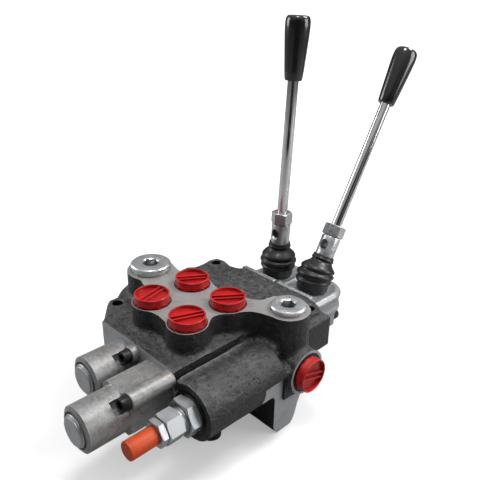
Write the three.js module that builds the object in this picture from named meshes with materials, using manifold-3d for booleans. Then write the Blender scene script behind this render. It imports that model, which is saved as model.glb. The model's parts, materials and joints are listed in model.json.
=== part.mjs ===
// Two-section hydraulic monoblock directional valve, in millimetres, +Z up.
// Origin: middle of the four work ports, on the machined port face.
// +X points to the side inlet, +Y to the hand levers, -Y to the spool caps.

import * as THREE from "three";
import { mergeVertices } from "three/addons/utils/BufferGeometryUtils.js";
import Module from "manifold-3d";

// ---------------------------------------------------------------- driving dimensions

const GAP = 0.3; // air left between touching pieces
const ROUND = 20; // facets on large round pieces
const SMALL = 14; // facets on small round pieces
const TINY = 8; // facets on hidden round details

const SPOOL_PITCH = 40;
const PORT_PITCH = 38.2; // A to B, along a spool
const SPOOL_Z = -38.9;
const SPOOL_R = 8;
const BORE_R = 8.3;

const FRONT_Y = -45.4; // machined face that carries the spool caps
const REAR_Y = 92.5; // machined face that carries the lever boxes
const PLATE_Z = -18.5; // cast deck around the port bosses
const PLATE_UNDER_Z = -35;
const CORE_UNDER_Z = -62;
const REAR_UNDER_Z = -51;
const FOOT_Z = -91; // the valve stands on this plane
const FOOT_HALF_WIDTH = 70;
const PAD_R = 8;
const PADS = [[-37, -13], [37, -13], [-35, 78], [35, 78]];
const CORE_LEFT_X = -48;
const CORE_RIGHT_X = 40;
const CORE_REAR_Y = 70;
const MERGE = 0.5; // how far joined blocks reach into each other

const PORT_BOSS_R = 15;
const PORT_WELL_R = 10.75; // G 1/2 port
const PORT_WELL_DEPTH = 14;
const SIDE_WELL_DEPTH = 15;
const GALLERY_R = 6.5;
const GALLERY_Z = -44;

const OUTLET = new THREE.Vector2(-61.3, 10.4); // large port on the left
const OUTLET_BOSS_R = 19.3;
const OUTLET_WELL_R = 13.7; // G 3/4 port
const INLET = new THREE.Vector2(55.2, 45.4); // top inlet on the right
const INLET_BOSS_R = 16.5;
const SIDE_FACE_X = 76.5; // machined ring round the side inlet
const SIDE_BOSS_R = 17.5;
const OUTLET_FACE_X = -82.5; // machined face round the side outlet

const RELIEF_X = 53.6;
const RELIEF_Z = -41.4;
const RELIEF_BOSS_R = 20.4;
const RELIEF_BOSS_END_Y = 25;

const RELIEF_CAVITY_R = 11.5;

const SEAL_SEAT_R = 10.2; // at both ends of a spool bore
const SEAL_SEAT_DEPTH = 3;
const SCREW_HOLE_R = 3.4; // M6
const SCREW_DEPTH = 12; // how far a cap or box screw enters the body
const SCREW_CHANNEL_R = 6.6;
const CHECK_R = 6.3; // load-check cavity, drilled from below
const CHECK_Y = 58.4;

const MOUNT_HOLE_R = 4.35;
const MOUNT_HOLES = [[-62.1, -22.4], [-62.1, 82.8], [46, 82.8]];

const CAP_R = 16;
const CAP_BORE_R = 12.5;
const CAP_EAR = 13.4; // screw axis, sideways and up from the spool axis
const SHORT_CAP_END_Y = -78.6;
const LONG_CAP_BLOCK_Y = -79;
const LONG_CAP_END_Y = -109.2;
const CAP_DISC_PROUD = 2.2;
const CAP_LIP_R = CAP_BORE_R - 0.9;
const CAP_EAR_R = 6.3;
const CAP_CORNER = 9; // chamfer on two corners of the long cap's block

const PIVOT_Y = 119.1;
const PIVOT_Z = -21.8;
const LEFT_TILT = 2.4; // degrees from upright, towards +Y
const RIGHT_TILT = 29.7; // latched in float
const BALL_R = 9;
const TAIL_LENGTH = PIVOT_Z - SPOOL_Z;
const TAIL_R = 3.5;
const HUB_R = 8.15;
const HUB_TOP = 44; // heights along the lever are measured from its ball centre
const CROSS_HOLE_R = 3.3;
const CROSS_HOLE_Z = 34;
const NUT_Z = 44.3;
const NUT_TOP = 54.3;
const ROD_R = 4.4;
const GRIP_Z = 164.8;
const GRIP_TOP = 213.1;
const BOOT_BASE_LEAN = 0.33; // share of the lever's lean that reaches the boot's base
const BOX_HALF_WIDTH = 18.7;
const BOX_TOP_Z = -28;
const BOX_STEP_Z = -45; // the rounded back ends here, above the straight lower part
const BOX_UNDER_Z = -58;
const BOX_BACK_Y = 127.5; // centre of the rounded back wall
const BOX_SCREW_X = 13.7; // screw axes, sideways from the lever

// ---------------------------------------------------------------- materials

function paint(color, roughness, metalness) {
  return new THREE.MeshStandardMaterial({ color, roughness, metalness });
}

const castIron = paint(0x3c3c3e, 0.7, 0.4);
const dieCast = paint(0x8a8b90, 0.5, 0.8);
const zinc = paint(0xc4c8ce, 0.3, 0.9);
const chrome = paint(0xd8dade, 0.12, 1.0);
const steel = paint(0x9a9ca0, 0.35, 0.9);
const springSteel = paint(0x6c6e72, 0.4, 0.9);
const redPlastic = paint(0xb00a10, 0.35, 0.0);
const orangePlastic = paint(0xd8531f, 0.45, 0.0);
const blackRubber = paint(0x1a1a1c, 0.6, 0.0);
const blackPlastic = paint(0x0c0c0e, 0.15, 0.0);
const sealRubber = paint(0x202022, 0.6, 0.0);
const blackSteel = paint(0x1c1c1e, 0.45, 0.6);

// ---------------------------------------------------------------- solids and booleans

const wasm = await Module();
wasm.setup();

// A closed geometry as a solid: shared corners merged, flat triangles dropped, faces outward.
function solid(geometry) {
  const bare = geometry.clone();
  bare.deleteAttribute("normal");
  bare.deleteAttribute("uv");
  const merged = mergeVertices(bare, 1e-4);
  const index = merged.index.array;
  const triangles = [];
  for (let i = 0; i < index.length; i += 3) {
    const [a, b, c] = [index[i], index[i + 1], index[i + 2]];
    if (a !== b && b !== c && c !== a) triangles.push(a, b, c);
  }
  const vertProperties = new Float32Array(merged.attributes.position.array);
  const triVerts = new Uint32Array(triangles);
  return new wasm.Manifold(new wasm.Mesh({ numProp: 3, vertProperties, triVerts }));
}

function geometryOf(body) {
  const mesh = body.getMesh();
  const geometry = new THREE.BufferGeometry();
  geometry.setAttribute("position", new THREE.BufferAttribute(mesh.vertProperties, 3));
  geometry.setIndex(new THREE.BufferAttribute(mesh.triVerts, 1));
  return geometry;
}

function join(first, ...others) {
  return others.reduce((whole, extra) => whole.add(extra), first);
}

function cut(whole, ...tools) {
  return tools.reduce((rest, tool) => rest.subtract(tool), whole);
}

function path(points) {
  return new THREE.Shape(points.map(([x, y]) => new THREE.Vector2(x, y)));
}

function prism(shape, length) {
  return new THREE.ExtrudeGeometry(shape, { depth: length, bevelEnabled: false, curveSegments: 8 });
}

// Outline in (x, y), from z0 up to z1.
function alongZ(shape, z0, z1) {
  return solid(prism(shape, z1 - z0).translate(0, 0, z0));
}

// Outline in (x, z), from y0 to y1.
function alongY(shape, y0, y1) {
  return solid(prism(shape, y1 - y0).rotateX(Math.PI / 2).translate(0, y1, 0));
}

// Outline in (y, z), from x0 to x1.
function alongX(shape, x0, x1) {
  const turn = new THREE.Matrix4().makeBasis(
    new THREE.Vector3(0, 1, 0),
    new THREE.Vector3(0, 0, 1),
    new THREE.Vector3(1, 0, 0),
  );
  return solid(prism(shape, x1 - x0).applyMatrix4(turn).translate(x0, 0, 0));
}

function block(x0, x1, y0, y1, z0, z1) {
  const geometry = new THREE.BoxGeometry(x1 - x0, y1 - y0, z1 - z0);
  return solid(geometry.translate((x0 + x1) / 2, (y0 + y1) / 2, (z0 + z1) / 2));
}

// Turned solid about the Z axis from [radius, height] corners, listed from the bottom up the outside.
function turnedGeometry(profile, facets = ROUND) {
  const points = profile.map(([radius, height]) => new THREE.Vector2(radius, height));
  const lathe = new THREE.LatheGeometry(points, facets, Math.PI / facets);
  return lathe.rotateX(Math.PI / 2);
}

function turned(profile, facets = ROUND) {
  return solid(turnedGeometry(profile, facets));
}

// Turned about an axis that points along +Y: heights become y.
function turnedY(profile, facets = ROUND) {
  return solid(turnedGeometry(profile, facets).rotateX(-Math.PI / 2));
}

function drum(radius, z0, z1, facets = ROUND, topRadius = radius) {
  return turned([[0, z0], [radius, z0], [topRadius, z1], [0, z1]], facets);
}

function drumY(radius, y0, y1, facets = ROUND, endRadius = radius) {
  return turnedY([[0, y0], [radius, y0], [endRadius, y1], [0, y1]], facets);
}

function drumX(radius, x0, x1, facets = ROUND) {
  const geometry = turnedGeometry([[0, x0], [radius, x0], [radius, x1], [0, x1]], facets);
  return solid(geometry.rotateY(Math.PI / 2));
}

// Hexagonal bar about Y, with flats facing up and down unless turned.
function hexY(acrossFlats, y0, y1, turn = 0) {
  const corner = acrossFlats / Math.sqrt(3);
  const geometry = turnedGeometry([[0, y0], [corner, y0], [corner, y1], [0, y1]], 6);
  return solid(geometry.rotateX(-Math.PI / 2).rotateY(turn));
}

function hexZ(acrossFlats, z0, z1) {
  return drum(acrossFlats / Math.sqrt(3), z0, z1, 6);
}

// Ring of round wire about the Z axis, centred on z = 0.
function wireRing(radius, wire, facets = ROUND) {
  return new THREE.TorusGeometry(radius, wire, 5, facets);
}

// Helical spring about the Z axis, standing on z = 0.
class Helix extends THREE.Curve {
  constructor(radius, height, turns) {
    super();
    Object.assign(this, { radius, height, turns });
  }
  getPoint(t, target = new THREE.Vector3()) {
    const angle = 2 * Math.PI * this.turns * t;
    return target.set(this.radius * Math.cos(angle), this.radius * Math.sin(angle), this.height * t);
  }
}

function spring(radius, wire, length, turns) {
  const section = new THREE.Shape();
  section.absarc(0, 0, wire / 2, 0, 2 * Math.PI);
  const extrudePath = new Helix(radius, length - wire, turns);
  const steps = Math.round(turns * 8);
  const coil = new THREE.ExtrudeGeometry(section, { steps, extrudePath, curveSegments: 3 });
  return coil.translate(0, 0, wire / 2);
}

// ---------------------------------------------------------------- placing

const valve = new THREE.Group();

function piece(name, shape, material, parent = valve) {
  const geometry = shape.isBufferGeometry ? shape : geometryOf(shape);
  const mesh = new THREE.Mesh(geometry, material);
  mesh.name = name;
  parent.add(mesh);
  return mesh;
}

function station(x, y, z, parent = valve) {
  const group = new THREE.Group();
  group.position.set(x, y, z);
  parent.add(group);
  return group;
}

const SIDES = [
  { side: "left", x: -SPOOL_PITCH / 2, tilt: LEFT_TILT },
  { side: "right", x: SPOOL_PITCH / 2, tilt: RIGHT_TILT },
];

// How far each spool sits towards the caps when its lever stands at its tilt.
function spoolShift(tilt) {
  return -TAIL_LENGTH * Math.sin(THREE.MathUtils.degToRad(tilt));
}

// ---------------------------------------------------------------- valve body

// Cast deck seen from above, in (x, y).
const PLATE_OUTLINE = [
  // front edge
  [-46, FRONT_Y], [38, FRONT_Y],
  // beside the relief boss, out round the rear right mounting lug
  [38, 62], [52, 74], [55, 84], [50, 90.5], [40, REAR_Y],
  // rear edge and the rear left lug
  [-36.8, REAR_Y], [-40, 90], [-48, 87.8], [-60, 90.8], [-68, 89], [-70.1, 82.8], [-68.2, 72],
  // left side, bulging round the outlet boss
  [-68.2, 62.7], [-72.5, 58], [-72.2, 48.3], [-66, 34], [-74, 26], [-81, 17], [-82, 0], [-76, -10.8],
  // front left lug, sloping back to the front edge
  [-69.5, -18], [-70, -25], [-64.3, -31], [-56.5, -37.4],
];

// Machined port face in (x, y): the web that ties the port bosses together.
const WEB_OUTLINE = [
  // between the two front bosses
  [-12, -29.5], [-1, -28.3], [10, -29.8],
  // down the right side
  [20, -19], [30.5, -8], [26.7, -3.4], [26.6, 1.4], [29, 7.8],
  // out to the inlet boss and back
  [34.7, 17], [40, 23.8], [46.7, 27.1], [53.7, 28.9], [60, 40], [50, 60], [36, 52], [34, 40.7],
  // along the rear bosses
  [28.3, 35.8], [20, 33], [10, 30], [-2.5, 28.6], [-14, 32], [-30, 28],
  // out to the outlet boss and back
  [-44, 25.5], [-52, 27.4], [-62, 10], [-52, -6.5], [-44, -9.4], [-33, -13],
];

// Foot rib across the underside, in (y, z).
const FOOT_PROFILE = [
  // upright front side and rounded toe
  [19, -48], [19, -84], [21, -88.5], [25.5, FOOT_Z],
  // sole and swept back side
  [36.5, FOOT_Z], [41, -87.5], [43.5, -81.5], [45.5, -74], [48, -69], [48, -56], [42, -48],
];

function portBosses() {
  const bosses = [];
  for (const x of [-SPOOL_PITCH / 2, SPOOL_PITCH / 2]) {
    for (const y of [-PORT_PITCH / 2, PORT_PITCH / 2]) {
      bosses.push(drum(PORT_BOSS_R, PLATE_UNDER_Z, 0).translate(x, y, 0));
    }
  }
  bosses.push(drum(OUTLET_BOSS_R, CORE_UNDER_Z, 0).translate(OUTLET.x, OUTLET.y, 0));
  bosses.push(drum(INLET_BOSS_R, GALLERY_Z, 0).translate(INLET.x, INLET.y, 0));
  bosses.push(alongZ(path(WEB_OUTLINE), PLATE_UNDER_Z, 0));
  return bosses;
}

function castBlock() {
  const plate = alongZ(path(PLATE_OUTLINE), PLATE_UNDER_Z, PLATE_Z);
  const core = block(CORE_LEFT_X, CORE_RIGHT_X, FRONT_Y, CORE_REAR_Y, CORE_UNDER_Z, PLATE_UNDER_Z + MERGE);
  const brow = block(CORE_LEFT_X, -30, FRONT_Y, -20, PLATE_UNDER_Z, PLATE_Z);
  const rear = block(-55, 60, 60, REAR_Y, REAR_UNDER_Z, -24);
  const relief = drumY(RELIEF_BOSS_R, FRONT_Y, RELIEF_BOSS_END_Y).translate(RELIEF_X, 0, RELIEF_Z);
  const reliefWeb = block(36, RELIEF_X, FRONT_Y, 46, CORE_UNDER_Z, -30);
  const inletBoss = drumX(SIDE_BOSS_R, 30, SIDE_FACE_X).translate(0, INLET.y, GALLERY_Z);
  const outletBoss = drumX(OUTLET_BOSS_R - 1, OUTLET_FACE_X, -40).translate(0, OUTLET.y, GALLERY_Z);
  const foot = alongX(path(FOOT_PROFILE), -FOOT_HALF_WIDTH, FOOT_HALF_WIDTH);
  const pads = PADS.map(([x, y]) => (
    drum(PAD_R, FOOT_Z, REAR_UNDER_Z + 1, SMALL).translate(x, y, 0)
  ));
  return join(
    plate, core, brow, rear, relief, reliefWeb, inletBoss, outletBoss, foot, ...pads, ...portBosses(),
  );
}

function spoolAndScrewHoles() {
  const holes = [];
  for (const { x } of SIDES) {
    holes.push(drumY(BORE_R, FRONT_Y - 1, REAR_Y + 1).translate(x, 0, SPOOL_Z));
    holes.push(drumY(SEAL_SEAT_R, FRONT_Y - 1, FRONT_Y + SEAL_SEAT_DEPTH).translate(x, 0, SPOOL_Z));
    holes.push(drumY(SEAL_SEAT_R, REAR_Y - SEAL_SEAT_DEPTH, REAR_Y + 1).translate(x, 0, SPOOL_Z));
    for (const y of [-PORT_PITCH / 2, PORT_PITCH / 2]) {
      holes.push(drum(PORT_WELL_R, -PORT_WELL_DEPTH, 1).translate(x, y, 0));
      holes.push(drum(GALLERY_R, SPOOL_Z, 1, SMALL).translate(x, y, 0));
    }
    for (const reach of [CAP_EAR, -CAP_EAR]) {
      const screw = drumY(SCREW_HOLE_R, FRONT_Y - 1, FRONT_Y + SCREW_DEPTH + 4, TINY);
      holes.push(screw.translate(x + reach, 0, SPOOL_Z + reach));
    }
  }
  for (const { x, z } of boxScrewPlaces()) {
    const screw = drumY(SCREW_HOLE_R, REAR_Y - SCREW_DEPTH - 2, REAR_Y + 1, TINY);
    holes.push(screw.translate(x, 0, z));
  }
  return holes;
}

// Top well, side well and the gallery across both spools.
function outletHoles() {
  const mouth = OUTLET_FACE_X - 1;
  const reach = -SIDES[0].x + 2;
  return [
    drum(OUTLET_WELL_R, -PORT_WELL_DEPTH - 2, 1).translate(OUTLET.x, OUTLET.y, 0),
    drum(GALLERY_R, GALLERY_Z, 1, SMALL).translate(OUTLET.x, OUTLET.y, 0),
    drumX(OUTLET_WELL_R, mouth, OUTLET_FACE_X + SIDE_WELL_DEPTH).translate(0, OUTLET.y, GALLERY_Z),
    drumX(GALLERY_R, mouth, reach, SMALL).translate(0, OUTLET.y, GALLERY_Z),
  ];
}

// Top well, side well, the gallery that feeds the spools and the relief cavity off it.
function inletHoles() {
  const mouth = SIDE_FACE_X + 1;
  const reach = SIDES[0].x - 2;
  return [
    drum(PORT_WELL_R, -PORT_WELL_DEPTH, 1).translate(INLET.x, INLET.y, 0),
    drum(GALLERY_R, GALLERY_Z, 1, SMALL).translate(INLET.x, INLET.y, 0),
    drumX(PORT_WELL_R, SIDE_FACE_X - SIDE_WELL_DEPTH, mouth).translate(0, INLET.y, GALLERY_Z),
    drumX(GALLERY_R, reach, mouth, SMALL).translate(0, INLET.y, GALLERY_Z),
    drumY(RELIEF_CAVITY_R, FRONT_Y - 1, -10).translate(RELIEF_X, 0, RELIEF_Z),
    drumY(5, -20, INLET.y, SMALL).translate(RELIEF_X, 0, RELIEF_Z),
  ];
}

// Drilled from below between the spools, with a slot from the inlet gallery.
function checkHoles() {
  const mouth = CORE_UNDER_Z - 1;
  const drilled = [
    drum(CHECK_R + 1, mouth, CORE_UNDER_Z + 10, SMALL),
    drum(CHECK_R, mouth, CORE_UNDER_Z + 14, SMALL),
    drum(4, mouth, CORE_UNDER_Z + 24, SMALL),
  ];
  const slot = block(-2.5, 2.5, INLET.y, CHECK_Y, GALLERY_Z - 2, GALLERY_Z + 2);
  return [...drilled.map((hole) => hole.translate(0, CHECK_Y, 0)), slot];
}

function valveBody() {
  const mounts = MOUNT_HOLES.map(([x, y]) => (
    drum(MOUNT_HOLE_R, FOOT_Z - 1, 1, SMALL).translate(x, y, 0)
  ));
  const drilled = [...spoolAndScrewHoles(), ...outletHoles(), ...inletHoles(), ...checkHoles()];
  return cut(castBlock(), ...mounts, ...drilled);
}

// ---------------------------------------------------------------- port plugs

const PLUG_FLANGE_R = 13.3;
const OUTLET_PLUG_FLANGE_R = 16.4;
const PLUG_HEIGHT = 6.7;
const PLUG_DEPTH = 10; // below the port face
const PLUG_WALL = 1.8;
const PLUG_RECESS = 2.2;
const PLUG_RIB_OFFSET = 2.1; // the two ribs stand this far either side of the middle
const PLUG_RIB_HALF = 0.5;

// Moulded shipping plug about Z, standing on its port face at z = 0.
function shippingPlug(wellRadius, flangeRadius) {
  const stem = wellRadius - 0.6;
  const hollow = stem - PLUG_WALL;
  const floor = PLUG_HEIGHT - PLUG_RECESS;
  const cup = turned([
    [0, PLUG_RECESS], [hollow, PLUG_RECESS], [hollow, -PLUG_DEPTH], [stem, -PLUG_DEPTH], [stem, GAP],
    [flangeRadius, GAP], [flangeRadius - 0.4, PLUG_HEIGHT], [flangeRadius - 1.7, PLUG_HEIGHT],
    [flangeRadius - 2, floor], [0, floor],
  ]);
  const reach = flangeRadius - 1.6;
  const ribs = [-PLUG_RIB_OFFSET, PLUG_RIB_OFFSET].map((y) => (
    block(-reach, reach, y - PLUG_RIB_HALF, y + PLUG_RIB_HALF, floor - MERGE, PLUG_HEIGHT - 1)
  ));
  return join(cup, ...ribs);
}

function addShippingPlugs() {
  const ribAngles = { a1: 103, b1: 57, a2: 68, b2: 54 };
  const places = {
    a1: [-SPOOL_PITCH / 2, -PORT_PITCH / 2],
    b1: [-SPOOL_PITCH / 2, PORT_PITCH / 2],
    a2: [SPOOL_PITCH / 2, -PORT_PITCH / 2],
    b2: [SPOOL_PITCH / 2, PORT_PITCH / 2],
  };
  for (const [port, [x, y]] of Object.entries(places)) {
    const plug = piece(`port_plug_${port}`, shippingPlug(PORT_WELL_R, PLUG_FLANGE_R), redPlastic);
    plug.position.set(x, y, 0);
    plug.rotation.z = THREE.MathUtils.degToRad(ribAngles[port]);
  }
  const inlet = piece("side_inlet_plug", shippingPlug(PORT_WELL_R, PLUG_FLANGE_R), redPlastic);
  inlet.position.set(SIDE_FACE_X, INLET.y, GALLERY_Z);
  inlet.rotation.set(0, Math.PI / 2, THREE.MathUtils.degToRad(71), "YZX");
  const outlet = piece("side_outlet_plug", shippingPlug(OUTLET_WELL_R, OUTLET_PLUG_FLANGE_R), redPlastic);
  outlet.position.set(OUTLET_FACE_X, OUTLET.y, GALLERY_Z);
  outlet.rotation.y = -Math.PI / 2;
}

const WASHER_TOP = GAP + 1.4;
const SOCKET_DEPTH = 6.5;

// Steel port plug about Z with a hexagonal socket, on a bonded sealing washer.
function socketPlug(threadRadius, flangeRadius, top, socket) {
  const flangeUnder = WASHER_TOP + GAP;
  const turnedPart = turned([
    [0, -PLUG_DEPTH], [threadRadius - 0.8, -PLUG_DEPTH], [threadRadius, 1 - PLUG_DEPTH],
    [threadRadius, flangeUnder], [flangeRadius, flangeUnder], [flangeRadius, top - 1],
    [flangeRadius - 1, top], [0, top],
  ]);
  return cut(turnedPart, hexZ(socket, top - SOCKET_DEPTH, top + 1));
}

// Square-cut ring about Z between two radii, from z0 up to z1.
function ring(inner, outer, z0, z1, facets = ROUND) {
  return turned([[inner, z0], [outer, z0], [outer, z1], [inner, z1], [inner, z0]], facets);
}

function sealingWasher(threadRadius, outerRadius) {
  return ring(threadRadius + GAP, outerRadius, GAP, WASHER_TOP);
}

function addSocketPlugs() {
  const outlet = station(OUTLET.x, OUTLET.y, 0);
  piece("outlet_socket_plug", socketPlug(13.1, 16.05, 6.3, 12), zinc, outlet);
  piece("outlet_sealing_washer", sealingWasher(13.1, 15.4), steel, outlet);
  const inlet = station(INLET.x, INLET.y, 0);
  piece("inlet_socket_plug", socketPlug(10.3, 13.2, 4.4, 10), zinc, inlet);
  piece("inlet_sealing_washer", sealingWasher(10.3, 12.6), steel, inlet);
}

// ---------------------------------------------------------------- spools

const NOTCH_HALF = 4.3; // half width of the spool's driving notch
const NOTCH_FLARE = 2.8; // how much wider the notch is at its mouth, on each side
const SHOULDER_Y = FRONT_Y - 15.6; // spool end inside the cap, lever upright
const SPOOL_CHAMFER = 0.6;
const GROOVE_R = 5.6; // bottom of the metering grooves
const TONGUE_R = 6.4; // the spool's end inside the lever box
const TONGUE_END = 9.2; // beyond the notch centre
const TAPPED_R = 3.3; // thread in the spool's other end
const PORT_Y = PORT_PITCH / 2;

// Metering grooves along the spool, from the caps towards the levers: [from, to].
const GROOVES = [
  [-PORT_Y - 17, -PORT_Y - 9.5],
  [-PORT_Y + 9.5, OUTLET.y - 8],
  [OUTLET.y + 8.6, INLET.y - 17.5],
  [INLET.y - 8, INLET.y + 8],
];

// Spool about Y through its own notch centre at y = 0, lever upright.
function spoolShape() {
  const end = SHOULDER_Y - PIVOT_Y;
  const neck = REAR_Y + 5.5 - PIVOT_Y;
  const profile = [[0, end], [SPOOL_R - SPOOL_CHAMFER, end], [SPOOL_R, end + SPOOL_CHAMFER]];
  for (const [from, to] of GROOVES) {
    profile.push([SPOOL_R, from - PIVOT_Y], [GROOVE_R, from + 1.5 - PIVOT_Y]);
    profile.push([GROOVE_R, to - 1.5 - PIVOT_Y], [SPOOL_R, to - PIVOT_Y]);
  }
  profile.push([SPOOL_R, neck], [TONGUE_R, neck + 1.5], [TONGUE_R, TONGUE_END - 0.8]);
  profile.push([TONGUE_R - 0.8, TONGUE_END], [0, TONGUE_END]);
  const mouth = NOTCH_HALF + NOTCH_FLARE;
  const notch = path([
    [-NOTCH_HALF, -4.4], [NOTCH_HALF, -4.4], [NOTCH_HALF, 0.5], [mouth, 4], [mouth, SPOOL_R + 1],
    [-mouth, SPOOL_R + 1], [-mouth, 4], [-NOTCH_HALF, 0.5],
  ]);
  const tapped = drumY(TAPPED_R, end - 1, end + 14, TINY);
  return cut(turnedY(profile), alongX(notch, -BORE_R, BORE_R), tapped);
}

function addSpools() {
  for (const { side, x, tilt } of SIDES) {
    const spool = piece(`spool_${side}`, spoolShape(), chrome);
    spool.position.set(x, PIVOT_Y + spoolShift(tilt), SPOOL_Z);
    const seal = piece(`spool_seal_${side}`, wireRing(9.1, 0.8, 16), sealRubber);
    seal.position.set(x, FRONT_Y + 1.3, SPOOL_Z);
    seal.rotation.x = Math.PI / 2;
  }
}

// ---------------------------------------------------------------- spool caps

function capBarrel(y0, y1) {
  return turnedY([[0, y1], [CAP_R - 2.6, y1], [CAP_R, y1 + 1.6], [CAP_R, y0], [0, y0]]);
}

// Cap housing about Y through the spool axis; flangeY is where its screw heads bear.
function capHousing(flangeY, endY, square) {
  const start = FRONT_Y - GAP;
  const alongEars = (radius, y0, y1, facets) => [CAP_EAR, -CAP_EAR].map((reach) => (
    drumY(radius, y0, y1, facets).translate(reach, 0, reach)
  ));
  const inset = CAP_R - CAP_CORNER;
  const flange = alongY(path([
    [-CAP_R, -CAP_R], [inset, -CAP_R], [CAP_R, -inset], [CAP_R, CAP_R], [-inset, CAP_R], [-CAP_R, inset],
  ]), flangeY, start);
  const ears = alongEars(CAP_EAR_R, flangeY, start, SMALL);
  const body = join(capBarrel(start, endY), ...ears, ...(square ? [flange] : []));
  const ringGroove = CAP_BORE_R + 0.9;
  const bore = turnedY([
    [0, endY - 1], [CAP_LIP_R, endY - 1], [CAP_LIP_R, endY + 1.2], [ringGroove, endY + 1.2],
    [ringGroove, endY + 2.6], [CAP_BORE_R, endY + 2.6], [CAP_BORE_R, start + 1], [0, start + 1],
  ]);
  const screwHoles = alongEars(SCREW_HOLE_R, flangeY - 1, start + 1, TINY);
  const headRoom = alongEars(SCREW_CHANNEL_R, flangeY - 10, flangeY, SMALL);
  return cut(body, bore, ...screwHoles, ...headRoom);
}

const SCREW_HEAD_R = 4.9;
const SCREW_HEAD_LENGTH = 6;
const SCREW_SHANK_R = 3;

// Cap-head screw about Y, head towards -Y; head bears at y = 0.
function capScrew(length) {
  const end = -SCREW_HEAD_LENGTH;
  const body = turnedY([
    [0, end], [SCREW_HEAD_R - 0.5, end], [SCREW_HEAD_R, end + 0.5], [SCREW_HEAD_R, -GAP],
    [SCREW_SHANK_R, -GAP], [SCREW_SHANK_R, length], [0, length],
  ], SMALL);
  return cut(body, hexY(5, end - 1, end + 2.8));
}

function addCap(side, x, flangeY, endY, square) {
  const cap = station(x, 0, SPOOL_Z);
  piece(`cap_${side}`, capHousing(flangeY, endY, square), dieCast, cap);
  const lip = CAP_LIP_R - 0.4;
  piece(`cap_disc_${side}`, turnedY([
    [0, endY - CAP_DISC_PROUD], [lip - 1, endY - CAP_DISC_PROUD], [lip, endY - CAP_DISC_PROUD + 0.8],
    [lip, endY + 4], [0, endY + 4],
  ]), dieCast, cap);
  const retainer = piece(`cap_retaining_ring_${side}`, wireRing(CAP_BORE_R, 0.55, 16), springSteel, cap);
  retainer.position.y = endY + 1.9;
  retainer.rotation.x = Math.PI / 2;
  for (const [place, reach] of [["upper", CAP_EAR], ["lower", -CAP_EAR]]) {
    const screw = capScrew(FRONT_Y + SCREW_DEPTH - flangeY);
    const mesh = piece(`cap_screw_${place}_${side}`, screw, blackSteel, cap);
    mesh.position.set(reach, flangeY, reach);
  }
}

const SEAT_R = 10.8;
const SEAT_THICKNESS = 2;
const FIXED_SEAT_Y = FRONT_Y - GAP - SEAT_THICKNESS;
const HEAD_Y = -SEAT_THICKNESS - 2 * GAP; // bearing face of the bolt head, from the spool's end
const BOLT_HEAD_R = 6.2;
const BOLT_HEAD_LENGTH = 3;
const BOLT_COLLAR_R = 4.1; // the moving seat sits on this
const BOLT_REACH = 12;

// Spring seat: a flat ring about Y.
function springSeat(inner, y0) {
  return ring(inner, SEAT_R, y0, y0 + SEAT_THICKNESS, SMALL).rotate([-90, 0, 0]);
}

// Corners shared by the left spool's bolt and the right spool's detent rod, from under the head.
const BOLT_SHANK = [
  [BOLT_HEAD_R, HEAD_Y - BOLT_HEAD_LENGTH], [BOLT_HEAD_R, HEAD_Y], [BOLT_COLLAR_R, HEAD_Y],
  [BOLT_COLLAR_R, -GAP], [TAPPED_R - GAP, -GAP], [TAPPED_R - GAP, BOLT_REACH], [0, BOLT_REACH],
];

// Fixed seat on the body, centring spring round the spool, and the seat that the spool's bolt holds.
// Returns the group that moves with the spool, its zero on the spool's end.
function addCentringPack(side, x, shift) {
  const fixed = station(x, 0, SPOOL_Z);
  piece(`spring_seat_fixed_${side}`, springSeat(8.5, FIXED_SEAT_Y), steel, fixed);
  const springEnd = FIXED_SEAT_Y - GAP;
  const length = springEnd - (SHOULDER_Y + shift);
  const coil = piece(`centring_spring_${side}`, spring(SEAT_R - 1.2, 1.2, length, 4), springSteel, fixed);
  coil.rotation.x = Math.PI / 2;
  coil.position.y = springEnd;
  const pack = station(x, SHOULDER_Y + shift, SPOOL_Z);
  piece(`spring_seat_moving_${side}`, springSeat(4.5, -2 - GAP), steel, pack);
  return pack;
}

function addLeftCap() {
  const { x, tilt } = SIDES[0];
  addCap("left", x, -50.6, SHORT_CAP_END_Y, false);
  const pack = addCentringPack("left", x, spoolShift(tilt));
  const bolt = turnedY([[0, HEAD_Y - BOLT_HEAD_LENGTH], ...BOLT_SHANK], SMALL);
  piece("spool_bolt_left", cut(bolt, hexY(4, HEAD_Y - 4, HEAD_Y - 1)), steel, pack);
}

const DETENT_ROD_R = 4.4;
const DETENT_BALL_R = 2;

function addRightCap() {
  const { x, tilt } = SIDES[1];
  addCap("right", x, LONG_CAP_BLOCK_Y, LONG_CAP_END_Y, true);
  const pack = addCentringPack("right", x, spoolShift(tilt));
  // Detent rod: holds the moving seat and carries the ball in a cross hole.
  const ballY = HEAD_Y - 23;
  const rod = turnedY([
    [0, ballY - 4.5], [DETENT_ROD_R - 0.6, ballY - 4.5], [DETENT_ROD_R, ballY - 3.5],
    [DETENT_ROD_R, HEAD_Y - BOLT_HEAD_LENGTH], ...BOLT_SHANK,
  ], SMALL);
  const crossHole = drum(DETENT_BALL_R + 0.4, -SPOOL_R, SPOOL_R, TINY).translate(0, ballY, 0);
  piece("detent_rod", cut(rod, crossHole), steel, pack);
  const ball = piece("detent_ball", new THREE.SphereGeometry(DETENT_BALL_R, TINY, 6), chrome, pack);
  ball.position.set(0, ballY, 3.8);
  const grooveY = SHOULDER_Y + spoolShift(tilt) + ballY;
  const [inner, outer, front, back] = [6.3, 12, grooveY - 5, grooveY + 17.5];
  const sleeve = turnedY([
    [inner, front], [outer, front], [outer, back], [inner, back], [inner, grooveY + 2],
    [inner + 0.9, grooveY + 1.2], [inner + 0.9, grooveY - 1.2], [inner, grooveY - 2], [inner, front],
  ], SMALL);
  piece("detent_sleeve", sleeve, steel, station(x, 0, SPOOL_Z));
}

// ---------------------------------------------------------------- relief valve

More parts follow.
